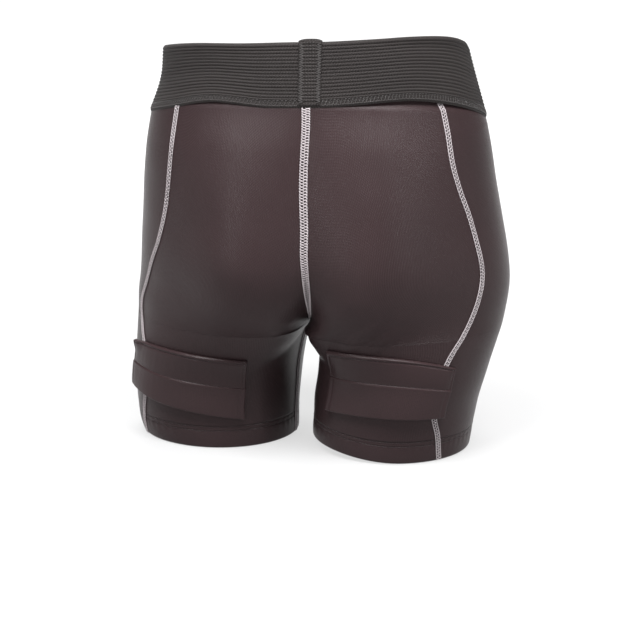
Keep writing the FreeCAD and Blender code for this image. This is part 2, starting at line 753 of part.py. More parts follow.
def make_label():
    """Blank care label sewn inside the back of the waistband."""
    body = DOC.addObject("PartDesign::Body", "care_label")
    sketch = body.newObject("Sketcher::SketchObject", "label_outline")
    plane = next(f for f in body.Origin.OriginFeatures if f.Role == "XY_Plane")
    sketch.AttachmentSupport = [(plane, "")]
    sketch.MapMode = "FlatFace"
    w, h = S["label_width"] / 2, S["label_length"] / 2
    corners = [Vector(-w, -h, 0), Vector(w, -h, 0), Vector(w, h, 0), Vector(-w, h, 0)]
    for a, b in zip(corners, corners[1:] + corners[:1]):
        sketch.addGeometry(Part.LineSegment(a, b), False)
    for k in range(4):
        sketch.addConstraint(Sketcher.Constraint("Coincident", k, 2, (k + 1) % 4, 1))
    for k, kind in enumerate(("Horizontal", "Vertical", "Horizontal", "Vertical")):
        sketch.addConstraint(Sketcher.Constraint(kind, k))
    sketch.addConstraint(Sketcher.Constraint("Symmetric", 0, 1, 1, 2, -1, 1))
    for line, name, alias in ((0, "wide", "label_width"), (1, "tall", "label_length")):
        index = sketch.addConstraint(Sketcher.Constraint("Distance", line, S[alias]))
        sketch.renameConstraint(index, name)
        sketch.setExpression(f"Constraints.{name}", f"sizes.{alias}")
    pad = body.newObject("PartDesign::Pad", "label_ply")
    pad.Profile = sketch
    pad.setExpression("Length", "sizes.label_thick")
    z = S["band_edge_height"] + 14
    y = chart("trunk_back", z) - 3.2
    at = posed(Vector(0, y, z + S["waist_tilt"] * y), 1)
    body.Placement = Placement(at, Rotation(Vector(1, 0, 0), 90 + 4))


# ---------------------------------------------------------------- build, check, export

NODES_FROM_CAD = ("leg_hem_left", "leg_hem_right", "waistband", "cup_shell", "cup_rim_pad", "care_label")


def main():
    make_panels()
    make_pouch()
    make_seams()
    make_tabs()
    make_hems()
    make_waistband()
    make_cup()
    make_label()
    DOC.recompute()

    for item in DOC.Objects:
        bad = [flag for flag in item.State if flag in ("Invalid", "Error")]
        if bad:
            raise RuntimeError(f"{item.Name} is {bad}")
    nodes = [o for o in DOC.Objects if o.Label in NODES_FROM_CAD or o.TypeId == "Part::Feature"]
    os.makedirs(PARTS_FOLDER, exist_ok=True)
    for old in os.listdir(PARTS_FOLDER):
        if old.endswith(".step"):
            os.remove(os.path.join(PARTS_FOLDER, old))
    for item in nodes:
        shape = item.Shape
        if shape.isNull() or not shape.isValid() or not shape.Solids or shape.Volume <= 0:
            raise RuntimeError(f"{item.Label} has no valid solid")
        shape.exportStep(os.path.join(PARTS_FOLDER, item.Label + ".step"))
    print(len(nodes), "nodes written")


main()
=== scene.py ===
"""Compression shorts with sock tabs and a cup pocket: the looks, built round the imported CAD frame.

Lengths are in millimetres until a mesh is made, which is where they become metres.  Axes are the
frame's: +Z up, the wearer faces -Y, the wearer's left is +X.  A garment point is named by its side,
by phi, the angle round the leg's axis (0 faces the other leg, 90 the back, 180 the outer side,
270 the front), and by its height z.
"""

import math

import bpy
import numpy as np
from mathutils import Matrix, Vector


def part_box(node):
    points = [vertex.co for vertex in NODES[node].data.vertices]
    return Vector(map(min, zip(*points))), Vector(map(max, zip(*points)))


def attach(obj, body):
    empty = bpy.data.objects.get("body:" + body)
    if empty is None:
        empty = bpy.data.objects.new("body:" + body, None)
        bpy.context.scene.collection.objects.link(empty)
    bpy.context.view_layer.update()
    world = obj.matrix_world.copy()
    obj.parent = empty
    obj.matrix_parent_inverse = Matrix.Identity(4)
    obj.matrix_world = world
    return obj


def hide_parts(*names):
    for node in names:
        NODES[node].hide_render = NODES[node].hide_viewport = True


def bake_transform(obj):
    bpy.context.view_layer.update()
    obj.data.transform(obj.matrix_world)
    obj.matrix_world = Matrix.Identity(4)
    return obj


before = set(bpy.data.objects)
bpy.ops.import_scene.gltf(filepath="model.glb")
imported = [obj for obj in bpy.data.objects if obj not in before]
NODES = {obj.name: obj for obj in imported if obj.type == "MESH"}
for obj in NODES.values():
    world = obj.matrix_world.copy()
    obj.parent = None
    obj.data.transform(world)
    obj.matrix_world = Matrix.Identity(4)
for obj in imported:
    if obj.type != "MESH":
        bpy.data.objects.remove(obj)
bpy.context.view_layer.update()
RNG = np.random.default_rng(7)
MM = 0.001

# ---------------------------------------------------------------- garment surface

# Sections of a leg and of the trunk over height, for the left half of the symmetric garment.
CHART_COLUMNS = (
    "height", "axis_x", "leg_half_width", "leg_back", "leg_front",
    "trunk_half_width", "trunk_back", "trunk_front", "seat_lobe", "pouch_bulge", "leg_gap",
)
CHART = (
    (0, 69.5, 61.0, 60.5, 60.5, 139.0, 70.0, 70.0, 0, 0, 2),
    (30, 72.5, 63.2, 64.0, 65.0, 139.0, 70.0, 70.0, 0, 0, 5),
    (60, 74.5, 65.5, 68.0, 70.0, 139.0, 72.0, 74.0, 0, 0, 9),
    (92, 73.5, 69.0, 76.0, 75.0, 141.5, 84.0, 83.0, 5, 2, 5),
    (124, 69.0, 72.0, 80.0, 78.0, 143.8, 96.0, 89.0, 11, 11, 0),
    (155, 67.5, 72.0, 80.0, 78.0, 142.5, 102.0, 93.0, 13, 14, 0),
    (190, 65.5, 72.0, 80.0, 78.0, 139.0, 99.0, 92.0, 10, 9, 0),
    (226, 63.5, 72.0, 80.0, 78.0, 134.0, 94.0, 90.0, 4, 3, 0),
    (258, 62.0, 72.0, 80.0, 78.0, 127.0, 86.5, 86.5, 0, 0, 0),
    (306, 58.0, 72.0, 80.0, 78.0, 114.5, 80.0, 80.0, 0, 0, 0),
)
COLUMN = {name: [(row[0], row[k]) for row in CHART] for k, name in enumerate(CHART_COLUMNS)}
CROTCH_BACK = [(97, 0), (98.5, 14), (102, 30), (108, 48), (116, 65), (128, 82), (142, 93),
               (160, 98), (190, 97), (226, 92), (258, 86.5), (306, 80)]
CROTCH_FRONT = [(97, 0), (98.5, 12), (102, 30), (108, 50), (115, 66), (125, 82), (140, 98),
                (160, 106), (190, 101), (226, 93), (258, 86.5), (306, 80)]
BACK_OPENING = [(97, 0.02), (104, 0.2), (112, 0.4), (125, 0.75), (140, 1.3), (160, 2.2),
                (200, 3.5), (258, 6.0)]
FRONT_OPENING = [(97, 0.02), (104, 0.3), (112, 0.8), (120, 2.0), (130, 5.0)]
BACK_ROUNDING = [(0, 4), (60, 10), (97, 22), (125, 20), (150, 12), (190, 7), (258, 2)]
FRONT_ROUNDING = [(0, 4), (60, 10), (97, 20), (110, 12), (125, 6), (160, 2)]
SIDE_SEAM_PHI = {
    1: [(0, 142), (20, 137), (35, 132), (45, 130), (62, 131), (75, 135), (88, 142), (104, 149),
        (125, 146), (140, 141), (150, 137), (165, 131), (187, 126), (205, 124), (262, 122)],
    -1: [(0, 141), (20, 136.5), (35, 131), (45, 129), (62, 127), (75, 127), (88, 129), (100, 133),
         (112, 137), (125, 140), (145, 142), (165, 140), (187, 136.5), (205, 131.5), (225, 127),
         (262, 125)],
}
POUCH_HALF_GIRTH = [(97, 2), (104, 9), (115, 22), (135, 42), (165, 58), (200, 61), (262, 56)]
TWIST_DEG = [(0, -7.5), (60, -7.0), (110, -3.0), (165, 0.0), (306, 2.0)]
CROTCH = 97.0
WAIST_TILT, TILT_START, TILT_RUN = 0.175, 150.0, 108.0
HIP_SHIFT, LEG_SHIFT, TURN_HEIGHT, TOP_HEIGHT = -6.5, 8.0, 140.0, 306.0
CENTRE_X, CENTRE_Y = 4.15, -1.72
DRAW_HEIGHT, DRAW_ANGLE = 88.0, 24.0
MERGE_HEIGHT, MERGED_HEIGHT, INNER_DELAY = 45.0, 135.0, 38.0

# How far the cloth near the centre of the back is pulled sideways, over height.
CENTRE_SWAY = [(84, 0), (97, 3.0), (104, 0.4), (112, -2.7), (125, -3.9), (140, -3.0), (150, -1.9),
               (165, -0.5), (187, -0.6), (205, -0.2), (225, -0.7), (245, -2.1), (258, -3.0),
               (275, -3.2)]

# How far each leg's and hip's outer side stands out from the charted sections, over height.
OUTER_SHIFT = {
    1: [(0, 1.4), (8, 2.6), (16, 3.2), (100, 3.2), (113, 3.0), (130, 0.6), (150, 0), (250, 0)],
    -1: [(0, 0), (20, -1.0), (40, -2.3), (65, -2.2), (85, -0.8), (100, 0.6), (125, 0.4),
         (150, -0.6), (175, -2.2), (190, -2.7), (210, -3.0), (225, -2.2), (238, -1.0), (250, 0)],
}

# On the right leg's inner side: how far the hem rises, and how far the cloth moves towards the
# other leg, over height.
RIGHT_HEM_RISE = 5.6
RIGHT_INNER_SHIFT = [(0, 0), (20, 0.6), (40, 2.0), (58, 2.8), (70, 3.6), (80, 4.4), (88, 3.4),
                     (96, 0)]

# The cloth's thickness, the hem's and the panels' tops, the band's edges, how far the band covers
# the panels inwards, and the pitch of its ribs.
FABRIC = 0.9
HEM_HEIGHT = 17.5
PANEL_TOP = 270.0
BAND_LOW, BAND_HIGH = 258.0, 306.0
UNDER_BAND = 3.0
RIB_PITCH = 2.55

# Folds of the fabric: face (+1 back, -1 front), ends in X and Z, height and width of the ridge.
FOLDS = (
    (1, (-22, 86), (-66, 121.5), 2.2, 4.2),
    (1, (-40, 87.5), (-76, 113.5), 1.7, 4.0),
    (1, (20, 100), (62, 112), 0.7, 6.0),
    (1, (-4, 104), (-30, 132), 0.6, 5.0),
    (-1, (10, 112), (48, 128), 0.9, 6.0),
    (-1, (-12, 112), (-52, 126), 0.9, 6.0),
)


def smooth(x):
    """Goes from 0 to 1 with level ends as x does."""
    x = np.clip(x, 0.0, 1.0)
    return x * x * (3 - 2 * x)


def bell(x):
    """1 at 0, falling to nothing on both sides."""
    return np.exp(-(x**2))


def rounded(distance, radius):
    """Rises from 0 to 1 with a round shoulder over radius from an edge."""
    t = np.clip(distance / radius, 0, 1)
    return np.sqrt(np.clip(1 - (1 - t) ** 2, 0, 1))


def spread(*values):
    """The values as arrays of one shape."""
    return np.broadcast_arrays(*(np.asarray(value, float) for value in values))


def by_side(across, left, right):
    """The left side's points where across isn't negative, else the right side's."""
    return np.where((across >= 0)[..., None], left, right)


def profile(z, stations):
    """Cubic through (height, value) stations, level beyond both ends."""
    heights, values = np.array(stations, float).T
    ends = np.diff(values) / np.diff(heights)
    inner = (values[2:] - values[:-2]) / (heights[2:] - heights[:-2])
    slopes = np.concatenate([ends[:1], inner, ends[-1:]])
    z = np.clip(np.asarray(z, float), heights[0], heights[-1])
    k = np.clip(np.searchsorted(heights, z, "right") - 1, 0, len(heights) - 2)
    run = heights[k + 1] - heights[k]
    t = (z - heights[k]) / run
    return (
        (2 * t**3 - 3 * t**2 + 1) * values[k]
        + (t**3 - 2 * t**2 + t) * run * slopes[k]
        + (3 * t**2 - 2 * t**3) * values[k + 1]
        + (t**3 - t**2) * run * slopes[k + 1]
    )


def chart(measure, z):
    return profile(z, COLUMN[measure])


def smooth_min(a, b, rounding):
    """The smaller of two lengths, rounded where they meet."""
    h = np.clip(0.5 + 0.5 * (b - a) / rounding, 0, 1)
    return b * (1 - h) + a * h - rounding * h * (1 - h)


def base_point(phi, z):
    """Point (x, y) of the left half's section at height z."""
    c, s = np.cos(np.radians(phi)), np.sin(np.radians(phi))
    back = s >= 0
    x0 = chart("axis_x", z)
    depth = np.where(back, chart("leg_back", z), chart("leg_front", z))
    leg = 1 / np.sqrt((c / chart("leg_half_width", z)) ** 2 + (s / depth) ** 2)
    w = chart("trunk_half_width", z)
    d = np.where(back, chart("trunk_back", z), chart("trunk_front", z))
    qa = (c / w) ** 2 + (s / d) ** 2
    qb = -2 * x0 * c / w**2
    trunk = (-qb + np.sqrt(qb * qb - 4 * qa * ((x0 / w) ** 2 - 1))) / (2 * qa)
    merge = MERGE_HEIGHT + INNER_DELAY * np.exp(-(1 - c) / 0.4)
    share = smooth((z - merge) / (MERGED_HEIGHT - merge))
    r = (1 - share) * leg + share * trunk
    low = z <= CROTCH
    slope = np.where(back, profile(z, BACK_OPENING), profile(z, FRONT_OPENING))
    seam = np.where(back, profile(z, CROTCH_BACK), profile(z, CROTCH_FRONT))
    across = np.where(low, c, c + slope * np.abs(s))
    reach = np.where(low, x0 - chart("leg_gap", z), x0 + slope * seam)
    wall = np.where(across > 0.05, reach / np.maximum(across, 0.05), 1e6)
    rounding = np.where(back, profile(z, BACK_ROUNDING), profile(z, FRONT_ROUNDING))
    r = np.where(across > 0.05, smooth_min(r, wall, rounding), r)
    x, y = x0 - r * c, r * s
    bulge = chart("pouch_bulge", z) * bell(x / 40) * smooth(-y / 60)
    lobe = chart("seat_lobe", z) * bell((x - 56) / 38) * smooth(y / 60)
    return x, y + np.where(y > 0, lobe, -bulge)


def centre_phi(z, face):
    """Angle at which the half's section meets the centre plane, at the back or at the front."""
    y = np.where(z <= CROTCH, 0, profile(z, CROTCH_BACK if face == "back" else CROTCH_FRONT))
    angle = np.degrees(np.arctan2(y, chart("axis_x", z)))
    return angle if face == "back" else 360 - angle


def section_point(phi, z):
    """Point (x, y) of the left half's section, with its ends drawn onto the crotch curve."""
    phi, z = spread(phi, z)
    x, y = base_point(phi, z)
    drawn = smooth((z - DRAW_HEIGHT) / (CROTCH - DRAW_HEIGHT))
    back = phi < 180
    edge = np.where(back, centre_phi(z, "back"), centre_phi(z, "front"))
    pull = drawn * (1 - smooth(np.abs(phi - edge) / DRAW_ANGLE))
    x_edge, y_edge = base_point(edge, z)
    y_seam = np.where(back, profile(z, CROTCH_BACK), -profile(z, CROTCH_FRONT))
    y_seam = np.where(z > CROTCH, y_seam, 0)
    return x - pull * x_edge, y + pull * (y_seam - y_edge)


def tilted(z, y):
    """Height of a point once the top of the garment is tilted up at the back."""
    return z + WAIST_TILT * smooth((z - TILT_START) / TILT_RUN) * y


def flat_point(phi, z):
    x, y = section_point(phi, z)
    return np.stack([x, y, tilted(z, y)], -1)


def surface(phi, z):
    """Points of the left half and the outward normals there."""
    step = 0.6
    along = flat_point(phi + step, z) - flat_point(phi - step, z)
    up = flat_point(phi, z + step) - flat_point(phi, z - step)
    n = np.cross(up, along)
    at = flat_point(phi, z)
    n[..., 0] = np.where((at[..., 0] < 0.01) & (z > CROTCH), 0, n[..., 0])
    return at, n / np.linalg.norm(n, axis=-1, keepdims=True)


def lean(z):
    """Sideways shift of the stance: the hips one way, the legs the other."""
    span, rise = LEG_SHIFT - HIP_SHIFT, TOP_HEIGHT - TURN_HEIGHT
    z = np.asarray(z, float)
    down = (TURN_HEIGHT - np.maximum(z, 0)) / TURN_HEIGHT
    low = HIP_SHIFT + span * (1 - np.cos(math.pi * down)) / 2
    high = HIP_SHIFT * (1 + np.cos(math.pi * np.clip(z - TURN_HEIGHT, 0, rise) / rise)) / 2
    return np.where(z < TURN_HEIGHT, low, high)


def posed(point, side):
    """A point of the symmetric garment in the worn pose, on the side asked for."""
    z = point[..., 2]
    a = np.radians(profile(z, TWIST_DEG))
    x, y = side * point[..., 0], point[..., 1]
    out = smooth((point[..., 0] - 60) / 60)
    x = x + profile(z, CENTRE_SWAY) * bell(x / 35) * smooth((y + 20) / 35)
    x = x + side * out * profile(z, OUTER_SHIFT[side])
    if side < 0:
        x = x + profile(z, RIGHT_INNER_SHIFT) * (1 - smooth((point[..., 0] - 6) / 50))
        z = z + RIGHT_HEM_RISE * (1 - smooth((point[..., 0] - 14) / 80)) * (1 - smooth(z / 46))
    return np.stack([
        x * np.cos(a) - y * np.sin(a) + lean(z) + CENTRE_X,
        x * np.sin(a) + y * np.cos(a) + CENTRE_Y,
        z,
    ], -1)


def walk(phi, z, distance, steps=8):
    """Angle reached by going distance along the section from phi, either way."""
    phi, z, distance = spread(phi, z, distance)
    phi = phi.copy()
    for _ in range(steps):
        x0, y0 = section_point(phi - 0.3, z)
        x1, y1 = section_point(phi + 0.3, z)
        phi += 0.6 * (distance / steps) / np.hypot(x1 - x0, y1 - y0)
    return phi


def folds(at):
    """Height of the soft folds and of the fabric's unevenness at posed points."""
    x, y, z = at[..., 0], at[..., 1], at[..., 2]
    height = 0.18 * np.sin(0.045 * x + 0.031 * z + 1.3) * np.sin(0.05 * z - 0.02 * x)
    height += 0.10 * np.sin(0.11 * x - 0.07 * z) * np.sin(0.09 * z + 0.05 * y + 0.7)
    for face, (x0, z0), (x1, z1), top, width in FOLDS:
        length = math.hypot(x1 - x0, z1 - z0)
        ux, uz = (x1 - x0) / length, (z1 - z0) / length
        t = ((x - x0) * ux + (z - z0) * uz) / length
        off = (x - x0) * uz - (z - z0) * ux
        near = smooth(t / 0.3) * smooth((1 - t) / 0.4) * smooth(face * y / 25)
        ridge = bell(off / width)
        height += top * near * ridge * (1 - 0.5 * ridge)
    return height


def skin(phi, z, lift, side):
    """Posed point, lift above the folded fabric, which is drawn in where the band covers it."""
    phi, z, lift = spread(phi, z, lift)
    at, n = surface(phi, z)
    fade = smooth((z - 2) / 14) * smooth((BAND_LOW - z) / 25)
    under_band = UNDER_BAND * smooth((z - BAND_LOW + 0.5) / 8)
    raised = lift + fade * folds(posed(at, side)) - under_band
    return posed(at + n * raised[..., None], side)


def pouch_edge_phi(z):
    """Angle of the pouch panel's side edge, or of the centre where there is no pouch."""
    edge = centre_phi(z, "front")
    reach = np.where(z < POUCH_HALF_GIRTH[0][0], 0, -profile(z, POUCH_HALF_GIRTH))
    return walk(edge, z, reach)


def side_seam_phi(side):
    return lambda z: profile(z, SIDE_SEAM_PHI[side])


# ---------------------------------------------------------------- meshes


def link(name, data):
    obj = bpy.data.objects.new(name, data)
    bpy.context.scene.collection.objects.link(obj)
    return obj


def make_mesh(name, points, faces, uv=None):
    """Mesh object from points in millimetres, faces, and per-point pattern coordinates."""
    mesh = bpy.data.meshes.new(name)
    mesh.from_pydata((points * MM).tolist(), [], faces)
    if uv is not None:
        layer = mesh.uv_layers.new(name="pattern")
        loops = np.zeros(len(mesh.loops), np.int32)
        mesh.loops.foreach_get("vertex_index", loops)
        layer.data.foreach_set("uv", np.asarray(uv, np.float32)[loops].ravel())
        mesh.validate()
    mesh.shade_smooth()
    return link(name, mesh)


def grid_faces(rows, columns, start=0, closed=False, flip=False):
    """Quads of a grid of points, closed round its rows if asked."""
    last = columns if closed else columns - 1
    i, j = np.meshgrid(np.arange(rows - 1), np.arange(last), indexing="ij")
    k = (j + 1) % columns
    low, high = i * columns, (i + 1) * columns
    quad = np.stack([low + j, low + k, high + k, high + j], -1)
    quad = quad.reshape(-1, 4) + start
    return quad[:, ::-1] if flip else quad


def rim_faces(first, second):
    """Quads between two lines of point numbers."""
    return np.stack([first[1:], second[1:], second[:-1], first[:-1]], -1)


def shell(name, outer, inner, uv, closed=False):
    """Closed shell between two grids of points (rows, columns, 3)."""
    rows, columns = outer.shape[:2]
    count = rows * columns
    faces = [
        grid_faces(rows, columns, 0, closed),
        grid_faces(rows, columns, count, closed, flip=True),
    ]
    index = np.arange(count).reshape(rows, columns)
    if closed:
        index = np.concatenate([index, index[:, :1]], 1)
    faces += [rim_faces(index[0] + count, index[0]), rim_faces(index[-1], index[-1] + count)]
    if not closed:
        left, right = index[:, 0], index[:, -1]
        faces += [rim_faces(left, left + count), rim_faces(right + count, right)]
    points = np.concatenate([outer.reshape(-1, 3), inner.reshape(-1, 3)])
    flat = uv.reshape(-1, 2)
    return make_mesh(name, points, np.concatenate(faces).tolist(), np.concatenate([flat, flat]))


def pattern_uv(points, start=0.0):
    """Lengths along the rows and up the columns from start, of a grid of points in millimetres."""
    across = np.linalg.norm(np.diff(points, axis=1), axis=2).cumsum(1)
    up = np.linalg.norm(np.diff(points, axis=0), axis=2).cumsum(0)
    u = np.concatenate([np.zeros((len(points), 1)), across], 1)
    u -= u.mean(1, keepdims=True)
    v = np.concatenate([np.zeros((1, points.shape[1])), up], 0)
    return np.stack([u, v + start], -1)


def tubes(paths, radius, sides=6):
    """Points and faces of round threads along paths (n, k, 3), with narrowed, closed ends."""
    paths = np.asarray(paths, float)
    n, k = paths.shape[:2]
    along = np.gradient(paths, axis=1)
    along /= np.maximum(np.linalg.norm(along, axis=2, keepdims=True), 1e-9)
    across = np.cross(along, np.broadcast_to((0.0, 0.0, 1.0), paths.shape))
    across /= np.maximum(np.linalg.norm(across, axis=2, keepdims=True), 1e-9)
    up = np.cross(across, along)
    turn = np.linspace(0, 2 * math.pi, sides, endpoint=False)[:, None]
    r = np.full((n, k, 1, 1), float(radius))
    r[:, [0, -1]] *= 0.45
    ring = np.cos(turn) * across[:, :, None] + np.sin(turn) * up[:, :, None]
    points = paths[:, :, None] + r * ring
    quads = grid_faces(k, sides, 0, closed=True)
    caps = [list(range(sides)), list(range((k - 1) * sides, k * sides))[::-1]]
    starts = np.arange(n)[:, None, None] * k * sides
    faces = (quads[None] + starts).reshape(-1, 4).tolist()
    for base in range(0, n * k * sides, k * sides):
        faces += [[base + v for v in caps[0]], [base + v for v in caps[1]]]
    return points.reshape(-1, 3), faces


def join_tubes(name, parts):
    """One mesh object from several (points, faces) sets."""
    points, faces, start = [], [], 0
    for some_points, some_faces in parts:
        points.append(some_points)
        faces += [[v + start for v in face] for face in some_faces]
        start += len(some_points)
    return make_mesh(name, np.concatenate(points), faces)


# ---------------------------------------------------------------- materials


class Shader:
    """Small helper round one material's nodes."""

    def __init__(self, name, colour, roughness, sheen=0.0, specular=0.5):
        self.material = bpy.data.materials.new(name)
        self.material.use_nodes = True
        self.nodes = self.material.node_tree.nodes
        self.links = self.material.node_tree.links
        self.bsdf = self.nodes["Principled BSDF"]
        for socket, value in (
            ("Base Color", (*colour, 1)), ("Roughness", roughness),
            ("Specular IOR Level", specular), ("Sheen Weight", sheen), ("Sheen Roughness", 0.35),
        ):
            self.bsdf.inputs[socket].default_value = value
        self.material.diffuse_color = (*colour, 1)

    def node(self, kind, **settings):
        node = self.nodes.new(kind)
        for key, value in settings.items():
            setattr(node, key, value)
        return node

    def math(self, operation, *values):
        node = self.node("ShaderNodeMath", operation=operation)
        for socket, value in zip(node.inputs, values):
            if isinstance(value, (int, float)):
                socket.default_value = value
            else:
                self.links.new(value, socket)
        return node.outputs[0]

    def mix(self, value, gain, offset):
        """value * gain + offset."""
        return self.math("MULTIPLY_ADD", value, gain, offset)

    def pattern(self):
        """The pattern coordinates in millimetres, as (u, v) sockets."""
        uv = self.node("ShaderNodeUVMap", uv_map="pattern")
        split = self.node("ShaderNodeSeparateXYZ")
        self.links.new(uv.outputs[0], split.inputs[0])
        return split.outputs[0], split.outputs[1]

    def noise(self, scale, detail=2.0):
        noise = self.node("ShaderNodeTexNoise")
        noise.inputs["Scale"].default_value = scale
        noise.inputs["Detail"].default_value = detail
        place = self.node("ShaderNodeTexCoord").outputs["Object"]
        self.links.new(place, noise.inputs["Vector"])
        return noise.outputs[0]

    def tint(self, factor, dark, light):
        """Base colour that goes from dark to light with a 0 to 1 factor."""
        blend = self.node("ShaderNodeMix", data_type="RGBA")
        self.links.new(factor, blend.inputs[0])
        blend.inputs[6].default_value = (*dark, 1)
        blend.inputs[7].default_value = (*light, 1)
        self.links.new(blend.outputs[2], self.bsdf.inputs["Base Color"])

    def rough(self, factor, low, high):
        """Roughness that goes from low to high with a 0 to 1 factor."""
        level = self.mix(factor, high - low, low)
        self.links.new(level, self.bsdf.inputs["Roughness"])

    def bump(self, height, distance_mm, strength=1.0):
        bump = self.node("ShaderNodeBump")
        bump.inputs["Distance"].default_value = distance_mm * MM
        bump.inputs["Strength"].default_value = strength
        self.links.new(height, bump.inputs["Height"])
        self.links.new(bump.outputs[0], self.bsdf.inputs["Normal"])


def scaled(colour, share):
    return tuple(min(1.0, channel * share) for channel in colour)


def wave(shader, value, pitch):
    """Cosine of a length over a pitch, from -1 to 1."""
    return shader.math("COSINE", shader.math("MULTIPLY", value, 2 * math.pi / pitch))


def diamonds(shader, u, v, across, down):
    """Lattice of round spots, from 0 to 1, on diamonds of the size given."""
    u, v = shader.math("DIVIDE", u, across), shader.math("DIVIDE", v, down)
    rising, falling = shader.math("ADD", u, v), shader.math("SUBTRACT", u, v)
    spots = shader.math("MULTIPLY", wave(shader, rising, 1.0), wave(shader, falling, 1.0))
    return shader.mix(spots, 0.5, 0.5)


def eyelet_knit(name, colour, eyelet_share=1.0):
    """Smooth double knit with a fine lattice of eyelets, and a dull gloss."""
    shader = Shader(name, colour, 0.42, specular=0.5)
    shader.bsdf.inputs["IOR"].default_value = 1.21
    u, v = shader.pattern()
    eyelets = shader.math("POWER", diamonds(shader, u, v, 2.6, 2.2), 3.0)
    yarn = shader.math("MULTIPLY", wave(shader, u, 0.62), wave(shader, v, 0.5))
    raised = shader.math("MULTIPLY", yarn, 0.08)
    shader.bump(shader.mix(eyelets, -eyelet_share, raised), 0.15)
    patches = shader.mix(shader.noise(14.0), 0.5, 0.55)
    shade = shader.mix(eyelets, -0.7 * eyelet_share, patches)
    shade = shader.mix(shader.noise(900.0, 1.0), 0.25, shade)
    shader.tint(shade, scaled(colour, 0.45), scaled(colour, 1.4))
    shader.rough(shade, 0.42, 0.28)
    return shader.material


def elastic_webbing(name, colour):
    """Ribbed elastic: covered rubber in rows, tied by upright yarns."""
    shader = Shader(name, colour, 0.6, specular=0.2)
    u, v = shader.pattern()
    upright = wave(shader, u, 1.15)
    ties = wave(shader, shader.mix(wave(shader, v, 2 * RIB_PITCH), 1.4, u), 2.3)
    yarns = shader.math("MULTIPLY", upright, 0.5)
    shader.bump(shader.mix(ties, 0.3, yarns), 0.3)
    groove = shader.mix(wave(shader, v, RIB_PITCH), 0.5, 0.5)
    shade = shader.mix(groove, 0.45, 0.1)
    shade = shader.mix(yarns, 0.6, shade)
    shade = shader.mix(shader.noise(25.0, 3.0), 0.4, shade)
    shader.tint(shade, scaled(colour, 0.5), scaled(colour, 1.35))
    return shader.material


def thread(name, colour, grain=2500.0):
    """Bulked thread with a fibre grain."""
    shader = Shader(name, colour, 0.65, sheen=0.25, specular=0.35)
    grains = shader.noise(grain)
    shader.tint(grains, scaled(colour, 0.78), scaled(colour, 1.16))
    shader.bump(grains, 0.08, 0.6)
    return shader.material


def tape(name, colour, grain, roughness):
    """Hook or loop tape."""
    shader = Shader(name, colour, roughness, sheen=0.3, specular=0.3)
    grains = shader.noise(grain, 3.0)
    shader.tint(grains, scaled(colour, 0.6), scaled(colour, 1.6))
    shader.bump(grains, 0.5, 0.9)
    return shader.material


def open_mesh(name, colour):
    """Knitted mesh lining with round holes."""
    shader = Shader(name, colour, 0.7, sheen=0.2)
    holes = diamonds(shader, *shader.pattern(), 3.2, 3.2)
    shader.bump(shader.math("MULTIPLY", holes, -1.0), 0.5)
    shader.tint(holes, scaled(colour, 1.3), scaled(colour, 0.12))
    return shader.material


def moulded(name, colour, roughness, grain):
    """Plastic or rubber with a fine moulded grain."""
    shader = Shader(name, colour, roughness, specular=0.5)
    grains = shader.noise(grain, 3.0)
    shader.bump(grains, 0.06, 0.5)
    shader.tint(grains, scaled(colour, 0.93), scaled(colour, 1.05))
    shader.rough(grains, roughness * 0.85, roughness * 1.15)
    return shader.material


KNIT_COLOUR = (0.0175, 0.0106, 0.0113)
BAND_COLOUR = (0.0150, 0.0122, 0.0117)
MATERIAL = {
    "body_fabric": eyelet_knit("body_knit", KNIT_COLOUR),
    "tab_fabric": eyelet_knit("tab_knit", KNIT_COLOUR, 0.35),
    "band_elastic": elastic_webbing("ribbed_elastic", BAND_COLOUR),
    "seam_thread": thread("flatlock_thread", (0.25, 0.222, 0.23)),
    "dark_thread": thread("tonal_thread", scaled(KNIT_COLOUR, 1.15)),
    "band_thread": thread("band_thread", (0.028, 0.0245, 0.024)),
    "hook_tape": tape("hook_tape", (0.02, 0.02, 0.021), 1500.0, 0.45),
    "loop_tape": tape("loop_tape", (0.025, 0.024, 0.025), 700.0, 0.9),
    "liner_mesh": open_mesh("pocket_mesh", (0.10, 0.095, 0.098)),
    "cup_plastic": moulded("cup_plastic", (0.36, 0.36, 0.355), 0.38, 900.0),
    "cup_rim": moulded("cup_rubber", (0.045, 0.045, 0.048), 0.6, 1200.0),
    "label": thread("label_satin", (0.72, 0.71, 0.69), 1800.0),
}


def finish_piece(obj, look, node=None, body="root"):
    """Gives a piece its material and its body, and hides the CAD node that it stands for."""
    obj.data.materials.clear()
    obj.data.materials.append(MATERIAL[look])
    if node:
        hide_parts(node)
    if body:
        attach(obj, body)


def sheet(name, outer, inner, look, node, held, stretch, body="root", uv=None, closed=False):
    """Sheet of cloth between two grids of points, in place of a CAD node. held is not used, and
    stretch is its worn area over its cut area. The pattern coordinates are lengths along the
    cloth, so they give the size that it was cut to."""
    uv = pattern_uv(outer) if uv is None else uv
    obj = shell(name, outer, inner, uv, closed)
    finish_piece(obj, look, node, body=body)
    width, length = np.maximum(np.ptp(uv, axis=(0, 1)) * MM / math.sqrt(stretch), 0.01)
    return obj


# ---------------------------------------------------------------- panels

SIDES = {1: "left", -1: "right"}
KNIT_STRETCH, HEM_STRETCH, BAND_STRETCH = 1.15, 1.1, 1.2


